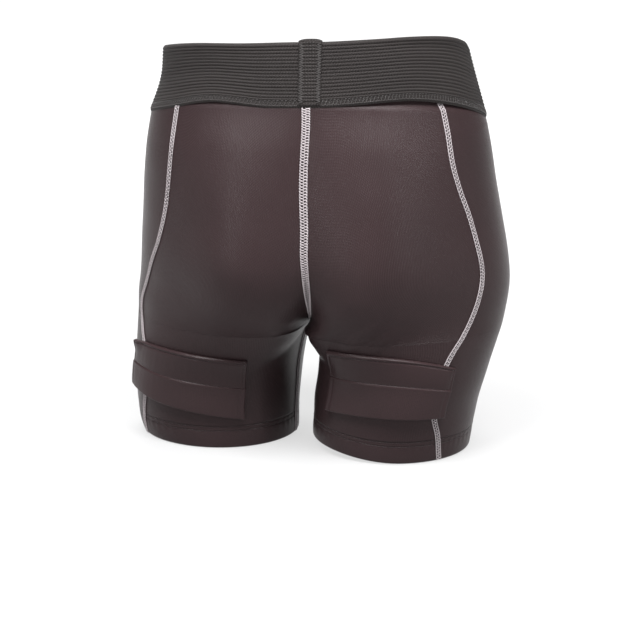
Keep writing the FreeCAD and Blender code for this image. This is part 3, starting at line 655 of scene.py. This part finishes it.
def panel(side, part, start, stop, columns):
    """Fabric panel between the lines start(z) and stop(z)."""
    z = np.concatenate([
        np.arange(HEM_HEIGHT + 0.1, 94, 1.6), np.arange(94, 112, 0.6),
        np.arange(112, PANEL_TOP, 1.6), [PANEL_TOP],
    ])[:, None]
    low, high = walk(start(z), z, 0.1, 1), walk(stop(z), z, -0.1, 1)
    phi = low + (high - low) * np.linspace(0, 1, columns)[None]
    outer, inner = skin(phi, z, 0.0, side), skin(phi, z, -FABRIC, side)
    sheet(f"{SIDES[side]}_{part}", outer, inner, "body_fabric", f"{part}_{SIDES[side]}",
          "stretched", KNIT_STRETCH)


def pouch_panel():
    """Front panel, from one pouch seam to the other across the centre."""
    z = [np.arange(98.5, 114, 0.8), np.arange(114, PANEL_TOP, 1.8), [PANEL_TOP]]
    z = np.concatenate(z)[:, None]
    edge, centre = pouch_edge_phi(z), centre_phi(z, "front")
    share = np.linspace(-1, 1, 101)[None]
    phi = centre + (edge - centre) * np.abs(share)
    outer, inner = (
        by_side(share, skin(phi, z, lift, 1), skin(phi, z, lift, -1)) for lift in (0.0, -FABRIC)
    )
    sheet("front_pouch_panel", outer, inner, "body_fabric", "pouch_panel", "stretched",
          KNIT_STRETCH)


for side in SIDES:
    panel(side, "back_panel", lambda z: centre_phi(z, "back"), side_seam_phi(side), 120)
    panel(side, "side_panel", side_seam_phi(side), pouch_edge_phi, 190)
pouch_panel()

# ---------------------------------------------------------------- hems

HEM_LINES = (14.0, 17.3)
HEM_GIRTH = 2 * math.pi * 62
PUFF_TOP = 13.2


def leg_hem(side, word):
    """Turned-up hem: outer ply, rolled lower edge and inner ply, with two stitch lines."""
    z = np.concatenate([
        [0.0, 0.15, 0.5, 1.0, 1.6], np.arange(2.2, 12.4, 0.7),
        np.arange(12.4, HEM_HEIGHT + 0.01, 0.18), [HEM_HEIGHT + 0.3],
    ])[:, None]
    phi = np.linspace(0, 360, 421)[None, :-1]
    turn = np.radians(phi)
    puff = 0.35 * np.sin(math.pi * np.clip(z / PUFF_TOP, 0, 1)) ** 0.7
    roll = -0.9 * (1 - rounded(z, 1.6))
    pucker = 0.12 * np.sin(turn * 58 + 2 * np.sin(turn * 5)) * bell((z - PUFF_TOP) / 4.5)
    grooves = sum(-0.26 * bell((z - line) / 0.5) for line in HEM_LINES)
    outer = skin(phi, z, puff + roll + pucker + grooves, side)
    inner = skin(phi, z, -1.8 - roll * 0.6, side)
    sheet(f"{word}_leg_hem", outer, inner, "body_fabric", f"leg_hem_{word}", "stretched",
          HEM_STRETCH, closed=True)


def stitch_row(place, length, pitch=2.6):
    """Stitches of one straight row; place(distances) gives points on the cloth."""
    t = np.arange(0, length - pitch, pitch)[:, None] + 0.62 * pitch * np.linspace(0, 1, 4)
    return tubes(place(t), 0.22, sides=5)


def hem_stitches(side, word):
    """Two rows of stitches round the hem, in its grooves."""
    rows = [
        stitch_row(lambda t: skin(t / HEM_GIRTH * 360, line, 0.02, side), HEM_GIRTH)
        for line in HEM_LINES
    ]
    obj = join_tubes(f"{word}_hem_stitches", rows)
    finish_piece(obj, "dark_thread")


for side, word in SIDES.items():
    leg_hem(side, word)
    hem_stitches(side, word)

# ---------------------------------------------------------------- flatlock seams

SEAM_TOP = {1: 258.8, -1: 264.5}


def flatlock(name, place, ends, node, width=4.6, pitch=2.3, rung=0.40):
    """Flatlock seam: a cord of thread along each edge and one between, and two staggered columns
    of rungs. place(distance, z, lift) gives posed points, and ends are its lowest and highest z."""
    low, high = ends
    half = width / 2
    z = np.arange(low, high, pitch / 4)
    quarter = np.arange(len(z)) * math.pi / 2
    parts = []
    for edge in (0.45 - half, half - 0.45):
        line = place(edge + 0.10 * np.sin(quarter), z, 0.42 + 0.10 * np.cos(quarter))
        parts.append(tubes(line[None], 0.0875 * width + 0.05, sides=7))
    inner = half - 0.5
    t = np.linspace(0, 1, 6)[None]
    for k in (0, 1):
        base = np.arange(low + 0.5 + k * pitch / 2, high - 0.6, pitch)[:, None]
        slant = base + (k - 0.5) * pitch * 0.35 * (t - 0.5) + RNG.normal(0, 0.08, base.shape)
        rungs = place(inner * (t + k - 1), slant, 0.38 + 0.22 * np.sin(math.pi * t))
        parts.append(tubes(rungs, rung))
    line = place(0.12 * np.sin(quarter), z, 0.5)
    parts.append(tubes(line[None], 0.75 * rung))
    finish_piece(join_tubes(name, parts), "seam_thread", node)


def on_line(line, side):
    """Place function of a seam that follows line(z)."""
    return lambda d, z, lift: skin(walk(line(z), z, d, steps=3), z, lift, side)


def on_centre_back(d, z, lift):
    """Place function of the centre-back seam, which lies on both halves."""
    d, z, lift = spread(d, z, lift)
    phi = walk(centre_phi(z, "back"), z, np.abs(d), steps=3)
    return by_side(d, skin(phi, z, lift, 1), skin(phi, z, lift, -1))


flatlock("centre_back_flatlock", on_centre_back, (99.5, 258.6), "centre_back_seam", 6.2, 1.75, 0.56)
for side, word in SIDES.items():
    for part, node, line, ends in (
        ("side", "back_side_seam", side_seam_phi(side), (0.8, SEAM_TOP[side])),
        ("pouch", "pouch_seam", pouch_edge_phi, (106.0, 258.8)),
        ("inseam", "inseam", lambda z: 0 * z, (0.8, 94.0)),
    ):
        flatlock(f"{word}_{part}_flatlock", on_line(line, side), ends, f"{node}_{word}")

# ---------------------------------------------------------------- waistband

BAND_TALL = 49.6
BAND_LIFT, BAND_THICK = 0.45, 1.5
BAND_FACE = BAND_LIFT + BAND_THICK
BAND_TAKE_IN, LEFT_WAISTING = -1.2, -3.4
JOIN_HALF, JOIN_CENTRE = 8.8, -2.7
JOIN_LOW, JOIN_RISE = 1.5, 2.4
COVER_ROWS, COVER_PITCH = (2.0, 5.8), 2.4


def band_axes(turn, share, z):
    """Half width and depth of the band's inner wall, drawn in at mid height on the left side."""
    waisting = LEFT_WAISTING * np.sin(math.pi * np.clip(share, 0, 1)) ** 1.3
    waisting = waisting * smooth((np.cos(turn) - 0.1) / 0.8)
    wide, deep = chart("trunk_half_width", z), chart("trunk_back", z)
    return wide + BAND_TAKE_IN + waisting, deep + BAND_TAKE_IN + waisting


# How far the band's two edges rise above its plane, over the distance across it, at the back.
LOW_EDGE_RISE = [(-128, -3.2), (-118, 1.9), (-103, 5.3), (-82, 7.0), (-65, 5.8), (-41, 2.9),
                 (-17, 0.6), (-5, 0.0), (12, -0.6), (31, -0.4), (51, 1.9), (66, 3.1), (81, 1.9),
                 (98, -1.1), (121, -4.1)]
TOP_EDGE_RISE = [(-116, 1.9), (-113, 4.3), (-106, 6.9), (-95, 7.4), (-76, 6.0), (-50, 3.2),
                 (-16, 0.6), (12, -0.3), (45, -1.4), (84, -1.0), (113, -1.6)]


def edge_rise(x, y, stations):
    """Rise at the back from the stations, fading round the sides to nothing at the front."""
    ends = np.where(x < 0, stations[0][1], stations[-1][1])
    front = ends * np.clip(np.abs(x) / abs(stations[0][0]), 0, 1) ** 4
    share = smooth(y / 14)
    return profile(x, stations) * share + front * (1 - share)


def band_point(turn, share, lift):
    """Point of the band: turn in radians round it, share from 0 at its lower edge to 1 above."""
    turn, share, lift = spread(turn, share, lift)
    level = BAND_LOW + (BAND_HIGH - BAND_LOW) * share
    wide, deep = band_axes(turn, share, level)
    x, y = wide * np.cos(turn), deep * np.sin(turn)
    rise = edge_rise(x, y, LOW_EDGE_RISE) * (1 - share) + edge_rise(x, y, TOP_EDGE_RISE) * share
    wide, deep = band_axes(turn, share, level + rise)
    x, y = (wide + lift) * np.cos(turn), (deep + lift) * np.sin(turn)
    return posed(np.stack([x, y, level + rise + WAIST_TILT * y], -1), 1)


def band_girth():
    line = band_point(np.linspace(0, 2 * math.pi, 721), 0.5, BAND_THICK)
    return np.linalg.norm(np.diff(line, axis=0), axis=1).sum()


def rib_lift(height, full):
    """Height of the ribs at a distance up webbing of the full width given, flatter at its foot."""
    ribs = 0.75 * np.abs(np.sin(math.pi * height / RIB_PITCH)) ** 0.6
    hem = smooth((7.0 - height) / 1.5)
    ends = np.minimum(smooth(height / 1.2), smooth((full - height) / 1.2))
    return ribs * (1 - 0.8 * hem) * ends - 0.5 * (1 - ends)


def webbing(name, outer, inner, heights, node, held, stretch, closed=False):
    """Piece of the band's webbing, whose pattern follows its ribs."""
    uv = pattern_uv(outer)
    uv[..., 1] = heights
    sheet(name, outer[:, ::-1], inner[:, ::-1], "band_elastic", node, held, stretch,
          uv=uv[:, ::-1], closed=closed)


def waistband():
    """Ribbed elastic band round the waist, one closed shell."""
    height = [np.linspace(0, BAND_TALL, 160), [0.15, 0.4, BAND_TALL - 0.15, BAND_TALL - 0.4]]
    height = np.unique(np.concatenate(height))[:, None]
    turn = np.linspace(0, 2 * math.pi, 641)[None, :-1]
    up = math.pi * height / RIB_PITCH
    weave = 0.05 * np.sin(turn * 330) * np.cos(up)
    outer = band_point(turn, height / BAND_TALL, BAND_FACE + rib_lift(height, BAND_TALL) + weave)
    inner = band_point(turn, height / BAND_TALL, BAND_LIFT + 0.15 * np.sin(up) ** 2)
    webbing("ribbed_waistband", outer, inner, height, "waistband", "stretched", BAND_STRETCH, True)


def near_back(x, share, lift):
    """Point of the band near the centre of its back, by distance from the centre."""
    wide, _ = band_axes(math.pi / 2, share, BAND_LOW + (BAND_HIGH - BAND_LOW) * share)
    turn = math.pi / 2 - np.arcsin(np.clip((x + JOIN_CENTRE) / (wide + lift), -1, 1))
    return band_point(turn, share, lift)


def band_join():
    """Doubled webbing where the band's ends meet, standing a little above its edge."""
    height = np.linspace(JOIN_LOW, BAND_TALL + JOIN_RISE, 170)[:, None]
    x = np.linspace(-JOIN_HALF, JOIN_HALF, 41)[None]
    edge = smooth((JOIN_HALF - np.abs(x)) / 0.9)
    foot, head = smooth(height - JOIN_LOW), smooth((BAND_TALL + JOIN_RISE - height) / 1.4)
    drooped = smooth((height - BAND_TALL + 8) / 8) * (np.abs(x) / JOIN_HALF) ** 3
    share = height * (1 - 0.03 * drooped) / BAND_TALL
    ribs = rib_lift(height + 0.9, BAND_TALL + 3) * edge * 0.9
    outer = near_back(x, share, BAND_FACE + 0.30 + 0.70 * edge * np.minimum(foot, head) + ribs)
    inner = near_back(x, share, BAND_FACE + 0.1)
    webbing("waistband_join", outer, inner, height + 0.9, "waistband_overlap", "laid", 1.0)


def band_stitching():
    """Zigzag on both edges of the join and the cover stitch along the band's lower edge."""
    parts = []
    steps = np.arange(4.0, BAND_TALL - 1.0, 0.9)
    count = len(steps)
    points = np.arange(0, count - 1, 0.25)
    share = np.interp(points, np.arange(count), steps) / BAND_TALL
    for centre in (-JOIN_HALF + 2.4, JOIN_HALF - 2.4):
        x = np.interp(points, np.arange(count), centre + 1.5 * (1 - 2 * (np.arange(count) % 2)))
        parts.append(tubes(near_back(x, share, BAND_FACE + 1.5)[None], 0.30, sides=5))
    girth = band_girth()
    to_turn = 2 * math.pi / girth
    count = int(girth / COVER_PITCH)
    start = np.arange(count)[:, None] / count * 2 * math.pi
    step = np.linspace(0, 1.5 * to_turn, 4)[None]
    for height in COVER_ROWS:
        line = band_point(start + step, height / BAND_TALL, BAND_FACE + 0.42)
        parts.append(tubes(line, 0.26, sides=5))
    t = np.linspace(0, 1, 5)[None]
    height = COVER_ROWS[0] * (1 - t) + COVER_ROWS[1] * t
    line = band_point(start + 1.2 * to_turn * (t - 0.5), height / BAND_TALL, BAND_FACE + 0.5)
    parts.append(tubes(line, 0.22, sides=5))
    finish_piece(join_tubes("waistband_stitching", parts), "band_thread")


waistband()
band_join()
band_stitching()

# ---------------------------------------------------------------- sock tabs

# Side, face, centre phi, height of the top edge's middle, its slope and its bow, and the tab's half
# width, the height of its stitched band and its whole height.
TABS = (
    (1, "back", 101.0, 79.2, 2.3, 3.0, 52.5, 23.0, 46.5),
    (-1, "back", 93.6, 87.0, -6.6, 5.0, 50.0, 21.3, 48.5),
    (1, "front", 262.0, 75.0, 0.0, 3.0, 52.0, 22.0, 47.0),
    (-1, "front", 262.0, 75.0, 0.0, 3.0, 52.0, 22.0, 47.0),
)
TAPER, TAPER_BOW = 0.145, 0.065
CORNER_SPREAD, SPREAD_TALL = 3.2, 48.0
TAB_LIFT, FLAP_FOLD = 0.9, 2.95
STITCH_INSET = 2.4
TAPE_HALF, TAPE_TALL, TAPE_DROP = 44.0, 17.0, 4.0


def tab_place(side, centre, middle, slope, bow, half):
    """Place function of a tab: s runs across it in millimetres, drop down from its top edge."""

    def place(s, drop, lift):
        s, drop, lift = spread(s, drop, lift)
        share = s / half
        if centre < 180 and side < 0:
            s = s - CORNER_SPREAD * (1 - drop / SPREAD_TALL) * np.clip(-share, 0, 1)
        narrowing = TAPER * share + TAPER_BOW * share * share
        z = middle + slope * share - bow * share * share - drop * (1 - narrowing)
        phi = walk(np.full(z.shape, centre), z, s if centre < 180 else -s)
        return skin(phi, z, lift, side)

    return place


def tab_pieces(side, face, centre, middle, slope, bow, half, band, tall):
    """One tab: its stitched band, its free flap, its stitches and its two tapes."""
    word = SIDES[side]
    place = tab_place(side, centre, middle, slope, bow, half)
    body = f"{face}_flap_{word}"
    label, node = f"{word}_{face}_tab", f"{face}_tab"
    s = np.linspace(-half, half, 141)[None]
    side_edge = half - np.abs(s)
    stray = 0.25 * np.sin(s * 0.9) * np.sin(s * 0.21 + centre)
    stands_off = face == "back" and side > 0

    def away(across, drop):
        """The outer end of the left back tab stands off the thigh, most at its top corner."""
        return stands_off * smooth((across - half + 16) / 16) * (2.6 * smooth(1 - drop / 14) + 0.5)

    # Stitched band: two plies, quilted by a row of stitches along its top and its sides.
    drop = np.linspace(0, band + 0.1, 56)[:, None]
    edge = np.minimum(side_edge, drop)
    quilted = np.clip((drop - STITCH_INSET) / (band - STITCH_INSET), 0, 1)
    puff = 0.45 * np.sin(math.pi * quilted) ** 0.8 * smooth((side_edge - STITCH_INSET) / 6)
    groove = 0.60 * bell((edge - STITCH_INSET) / 0.55)
    lift = TAB_LIFT + 2.1 * rounded(edge, 1.1) + puff - groove + 0.12 * stray
    lift = lift + (FLAP_FOLD - lift) * bell((band - drop) / 0.55)
    stand = away(s, drop)
    outer = place(s, drop + 0.15 * stray, lift + stand)
    inner = place(s, drop, TAB_LIFT - 0.45 + stand)
    sheet(f"{label}_band", outer, inner, "tab_fabric", f"{node}_band_{word}", "laid", 1.0)

    # Free flap: the same strip below the stitch line, turned under at its edges.
    drop = np.concatenate([np.linspace(band, tall - 2, 44), np.linspace(tall - 1.8, tall, 10)])
    drop = drop[:, None]
    edge = np.minimum(side_edge, tall - drop)
    below = (drop - band) / (tall - band)
    flare = 1.3 * smooth(below) + 0.4 * np.sin(s * 0.07 + centre) * below**2
    groove = 0.30 * bell((side_edge - 4.5) / 1.0) * smooth(below / 0.15)
    full = 2.75 + 0.95 * rounded(edge, 1.0) + flare - groove + 0.1 * stray
    top = full + (FLAP_FOLD - full) * bell((drop - band) / 0.6)
    across = s * (1 - 0.03 * smooth(below * 1.4) * smooth(np.abs(s) / half))
    stand = away(s, drop)
    outer = place(across, drop + 0.35 * stray * below, top + stand)
    inner = place(across, drop, 2.55 + flare * 0.8 + stand)
    obj = sheet(f"{label}_flap", outer, inner, "tab_fabric", f"{node}_flap_{word}", "hung", 1.0,
                body=None, uv=pattern_uv(outer, -band))
    blend_flap(obj, place, half, band)

    # Tonal stitches along the top, the fold and the sides.
    inset = half - STITCH_INSET

    def sewn(across, down, lift):
        return place(across, down, lift + away(across, down))

    rows = [
        stitch_row(lambda t: sewn(t - inset, down, lift), 2 * inset)
        for down, lift in ((STITCH_INSET, TAB_LIFT + 1.62), (band - 0.5, FLAP_FOLD - 0.02))
    ] + [
        stitch_row(lambda t: sewn(x, t + STITCH_INSET, TAB_LIFT + 1.58), band - STITCH_INSET)
        for x in (-inset, inset)
    ]
    finish_piece(join_tubes(f"{label}_stitches", rows), "dark_thread")
    tapes(label, node, word, place, body, band + TAPE_DROP)


def blend_flap(obj, place, half, band):
    """Finds the normal of the plane that holds the middle and ends of the flap's stitch line, and
    bakes the flap's transform into its mesh.
    """
    left, middle, right = (place(s, band, 4.0) for s in (-half, 0.0, half))
    normal = np.cross(right - middle, left - middle)
    normal /= np.linalg.norm(normal)
    if normal[2] > 0:
        normal = -normal
    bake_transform(obj)


def tapes(label, node, word, place, body, top):
    """Loop tape on the thigh and hook tape inside the flap, with its hooks."""
    s = np.linspace(-TAPE_HALF, TAPE_HALF, 91)[None]
    drop = np.linspace(top, top + TAPE_TALL, 18)[:, None]
    edge = np.minimum(TAPE_HALF - np.abs(s), np.minimum(drop - top, top + TAPE_TALL - drop))
    fuzz = RNG.normal(0, 0.08, edge.shape)
    loops = TAB_LIFT - 0.2 + 0.75 * rounded(edge, 1.2) + fuzz
    for part, face, back, rides in (
        ("loop_tape", loops, TAB_LIFT - 0.5, "root"), ("hook_tape", 2.52, 2.25, body),
    ):
        sheet(f"{label}_{part}", place(s, drop, face), place(s, drop, back), part,
              f"{node}_{part}_{word}", "laid", 1.0, body=rides)
    across = np.arange(-TAPE_HALF + 1.5, TAPE_HALF - 1, 1.9)
    down = np.arange(top + 1.2, top + TAPE_TALL - 1, 1.7)
    across, down = (grid.ravel()[:, None] for grid in np.meshgrid(across, down))
    hook = np.array([(0.0, 2.3), (0.0, 2.0), (0.1, 1.78), (0.4, 1.76), (0.6, 1.92)])
    paths = place(across, down + hook[:, 0], hook[:, 1])
    obj = join_tubes(f"{label}_hooks", [tubes(paths, 0.14, sides=4)])
    finish_piece(obj, "hook_tape", body=body)


for tab in TABS:
    tab_pieces(*tab)

# ---------------------------------------------------------------- pocket, cup and label

CUP_LEAN, CUP_CENTRE, CUP_FRONT, CUP_PAD = 7.0, 176.0, 60.0, 3.2
CUP_HALF_WIDTH = 40.0
LINER_CLEAR, LINER_OFF = 5.6, 2.6
POCKET_LOW, POCKET_HIGH = 136.0, 232.0
BINDING_LOW, BINDING_HIGH = 231.5, 239.0
NOTCHES = 36


def liner_point(share, z, lift):
    """Point of the pocket's liner, which hangs behind the cup and joins the pouch seams."""
    share, z, lift = spread(share, z, lift)
    phi = pouch_edge_phi(z)
    x = np.abs(share) * (section_point(phi, z)[0] - 4)
    lean_back = math.tan(math.radians(CUP_LEAN)) * (z - CUP_CENTRE)
    behind = lean_back - CUP_FRONT + CUP_PAD + LINER_CLEAR
    for _ in range(4):
        phi = walk(phi, z, section_point(phi, z)[0] - x)
    fabric = section_point(phi, z)[1] + LINER_OFF
    toward = smooth((x - (CUP_HALF_WIDTH + 9)) / 7)
    y = np.maximum(behind + (fabric - behind) * toward, fabric)
    at = np.stack([x, y - lift, tilted(z, y)], -1)
    return by_side(share, posed(at, 1), posed(at, -1))


def pocket():
    """Mesh liner of the cup's pocket and the gathered elastic that binds its mouth."""
    share = np.linspace(-1, 1, 101)[None]
    z = np.linspace(POCKET_LOW, POCKET_HIGH, 70)[:, None]
    front, back = liner_point(share, z, 0.3), liner_point(share, z, -0.3)
    sheet("pocket_liner", front, back, "liner_mesh", "pouch_liner", "stretched", 1.0)
    z = np.linspace(BINDING_LOW, BINDING_HIGH, 16)[:, None]
    gather = 0.35 * np.sin(share * 70)
    swell = np.sin(math.pi * (z - BINDING_LOW) / (BINDING_HIGH - BINDING_LOW))
    edge = 0.5 * rounded(np.minimum(z - BINDING_LOW, BINDING_HIGH - z), 1.2)
    front = liner_point(share, z, 0.5 + gather * swell + edge)
    back = liner_point(share, z, -0.5 - gather * 0.5)
    sheet("pocket_binding_elastic", front, back, "band_elastic", "pocket_binding", "stretched",
          HEM_STRETCH)


def care_label():
    """Blank satin label, folded over its top edge and sewn inside the band."""
    low, high = (np.array(corner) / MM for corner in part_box("care_label"))
    x = np.linspace(low[0], high[0], 40)[None]
    h = np.linspace(0, 1, 30)[:, None]
    sag = 0.5 * np.cos((x - x.mean()) / (high[0] - low[0]) * math.pi) * (1 - h) - 1.6
    y = (low[1] + high[1]) / 2 + sag
    z = low[2] + (high[2] - low[2]) * h
    layers = [np.stack(spread(x, y + off, z), -1) for off in (-0.18, 0.18)]
    sheet("care_label_blank", *layers, "label", "care_label", "hung", 1.0)


def cup_cushion():
    """Soft rim of the cup: the CAD tube's surface, remeshed, pinched at its moulded notches."""
    obj = link("cup_edge_cushion", NODES["cup_rim_pad"].data.copy())
    remesh = obj.modifiers.new("even", "REMESH")
    remesh.mode = "VOXEL"
    remesh.voxel_size = 1.1 * MM
    soften = obj.modifiers.new("soften", "SMOOTH")
    soften.factor, soften.iterations = 0.5, 4
    graph = bpy.context.evaluated_depsgraph_get()
    mesh = bpy.data.meshes.new_from_object(obj.evaluated_get(graph))
    obj.modifiers.clear()
    obj.data = mesh
    points, normals = np.empty((2, len(mesh.vertices), 3))
    mesh.vertices.foreach_get("co", points.ravel())
    mesh.vertex_normals.foreach_get("vector", normals.ravel())
    middle = (points.min(0) + points.max(0)) / 2
    turn = np.arctan2(points[:, 2] - middle[2], points[:, 0] - middle[0])
    notch = bell(np.sin(turn * NOTCHES / 2) / 0.16)
    points += normals * (-0.45 * MM * notch)[:, None]
    mesh.vertices.foreach_set("co", points.ravel())
    mesh.polygons.foreach_set("use_smooth", [True] * len(mesh.polygons))
    mesh.update()
    finish_piece(obj, "cup_rim", "cup_rim_pad", body="cup")


pocket()
care_label()
cup_cushion()
finish_piece(NODES["cup_shell"], "cup_plastic", body=None)

# ---------------------------------------------------------------- floor, light and camera

# The floor glows a little, less near the garment, so that it is white but hardly lights the cloth.
# From is a distance from its middle in metres, To the glow there.
GLOW = {"From Min": 0.3, "From Max": 1.4, "To Min": 0.63, "To Max": 0.95}
FLOOR_RADIUS, FLOOR_SIDES, FLOOR_LOW = 9000, 64, -0.4
LIGHT_TARGET = (0, 0, 0.16)
CAMERA_TARGET = (0.00685, -0.0013, 0.098)
CAMERA_AZIMUTH, CAMERA_ELEVATION, CAMERA_DISTANCE = 189.0, 14.7, 1.7
CAMERA_LENS = 125.5

# Name, azimuth, elevation, distance, size and power of each soft box.
LIGHTS = (
    ("left_softbox", 152, 62, 2.0, (0.9, 1.0), 88),
    ("right_softbox", 222, 62, 2.0, (0.9, 1.0), 76),
    ("left_strip", 147, 14, 2.0, (0.10, 0.9), 12),
    ("right_strip", 244, 14, 2.0, (0.10, 0.9), 12),
    ("front_fill", 10, 50, 2.2, (1.6, 1.6), 75),
)


def floor():
    # Painted glow: the floor's own colour is a dark grey, and its white look is light that it gives
    # off though it is no lamp.
    shader = Shader("glowing_floor", (0.12, 0.12, 0.12), 0.9, specular=0.0)
    shader.tint(shader.noise(3.0), (0.115, 0.115, 0.117), (0.125, 0.125, 0.125))
    shader.bsdf.inputs["Emission Color"].default_value = (1, 1, 1, 1)
    away = shader.node("ShaderNodeVectorMath", operation="LENGTH")
    shader.links.new(shader.node("ShaderNodeTexCoord").outputs["Object"], away.inputs[0])
    glow = shader.node("ShaderNodeMapRange", interpolation_type="SMOOTHSTEP")
    shader.links.new(away.outputs["Value"], glow.inputs["Value"])
    for socket, value in GLOW.items():
        glow.inputs[socket].default_value = value
    shader.links.new(glow.outputs["Result"], shader.bsdf.inputs["Emission Strength"])
    turn = np.linspace(0, 2 * math.pi, FLOOR_SIDES, endpoint=False)
    x, y = FLOOR_RADIUS * np.cos(turn), FLOOR_RADIUS * np.sin(turn)
    points = np.stack(spread(x, y, FLOOR_LOW), -1)
    obj = make_mesh("studio_floor", points, [list(range(FLOOR_SIDES))])
    obj.data.materials.append(shader.material)


def look_at(obj, azimuth, elevation, distance, target):
    """Puts a lamp or a camera at a distance from its target, with azimuth as in the other views."""
    a, e = math.radians(azimuth), math.radians(elevation)
    back = Vector((math.sin(a) * math.cos(e), -math.cos(a) * math.cos(e), math.sin(e)))
    obj.location = Vector(target) + back * distance
    obj.rotation_mode = "QUATERNION"
    obj.rotation_quaternion = (-back).to_track_quat("-Z", "Y")


def studio():
    scene = bpy.context.scene
    scene.world = bpy.data.worlds.new("studio_white")
    scene.world.use_nodes = True
    background = scene.world.node_tree.nodes["Background"]
    background.inputs["Color"].default_value = (1, 1, 1, 1)
    background.inputs["Strength"].default_value = 0.30
    for name, azimuth, elevation, distance, size, power in LIGHTS:
        light = bpy.data.lights.new(name, "AREA")
        light.shape = "RECTANGLE"
        light.size, light.size_y = size
        light.energy = power
        look_at(link(name, light), azimuth, elevation, distance, LIGHT_TARGET)
    scene.view_settings.view_transform = "Standard"
    scene.view_settings.look = "None"


def camera():
    data = bpy.data.cameras.new("photo_view")
    data.lens = CAMERA_LENS
    data.sensor_width = 36.0
    obj = link("photo_view", data)
    look_at(obj, CAMERA_AZIMUTH, CAMERA_ELEVATION, CAMERA_DISTANCE, CAMERA_TARGET)
    bpy.context.scene.camera = obj


floor()
studio()
camera()
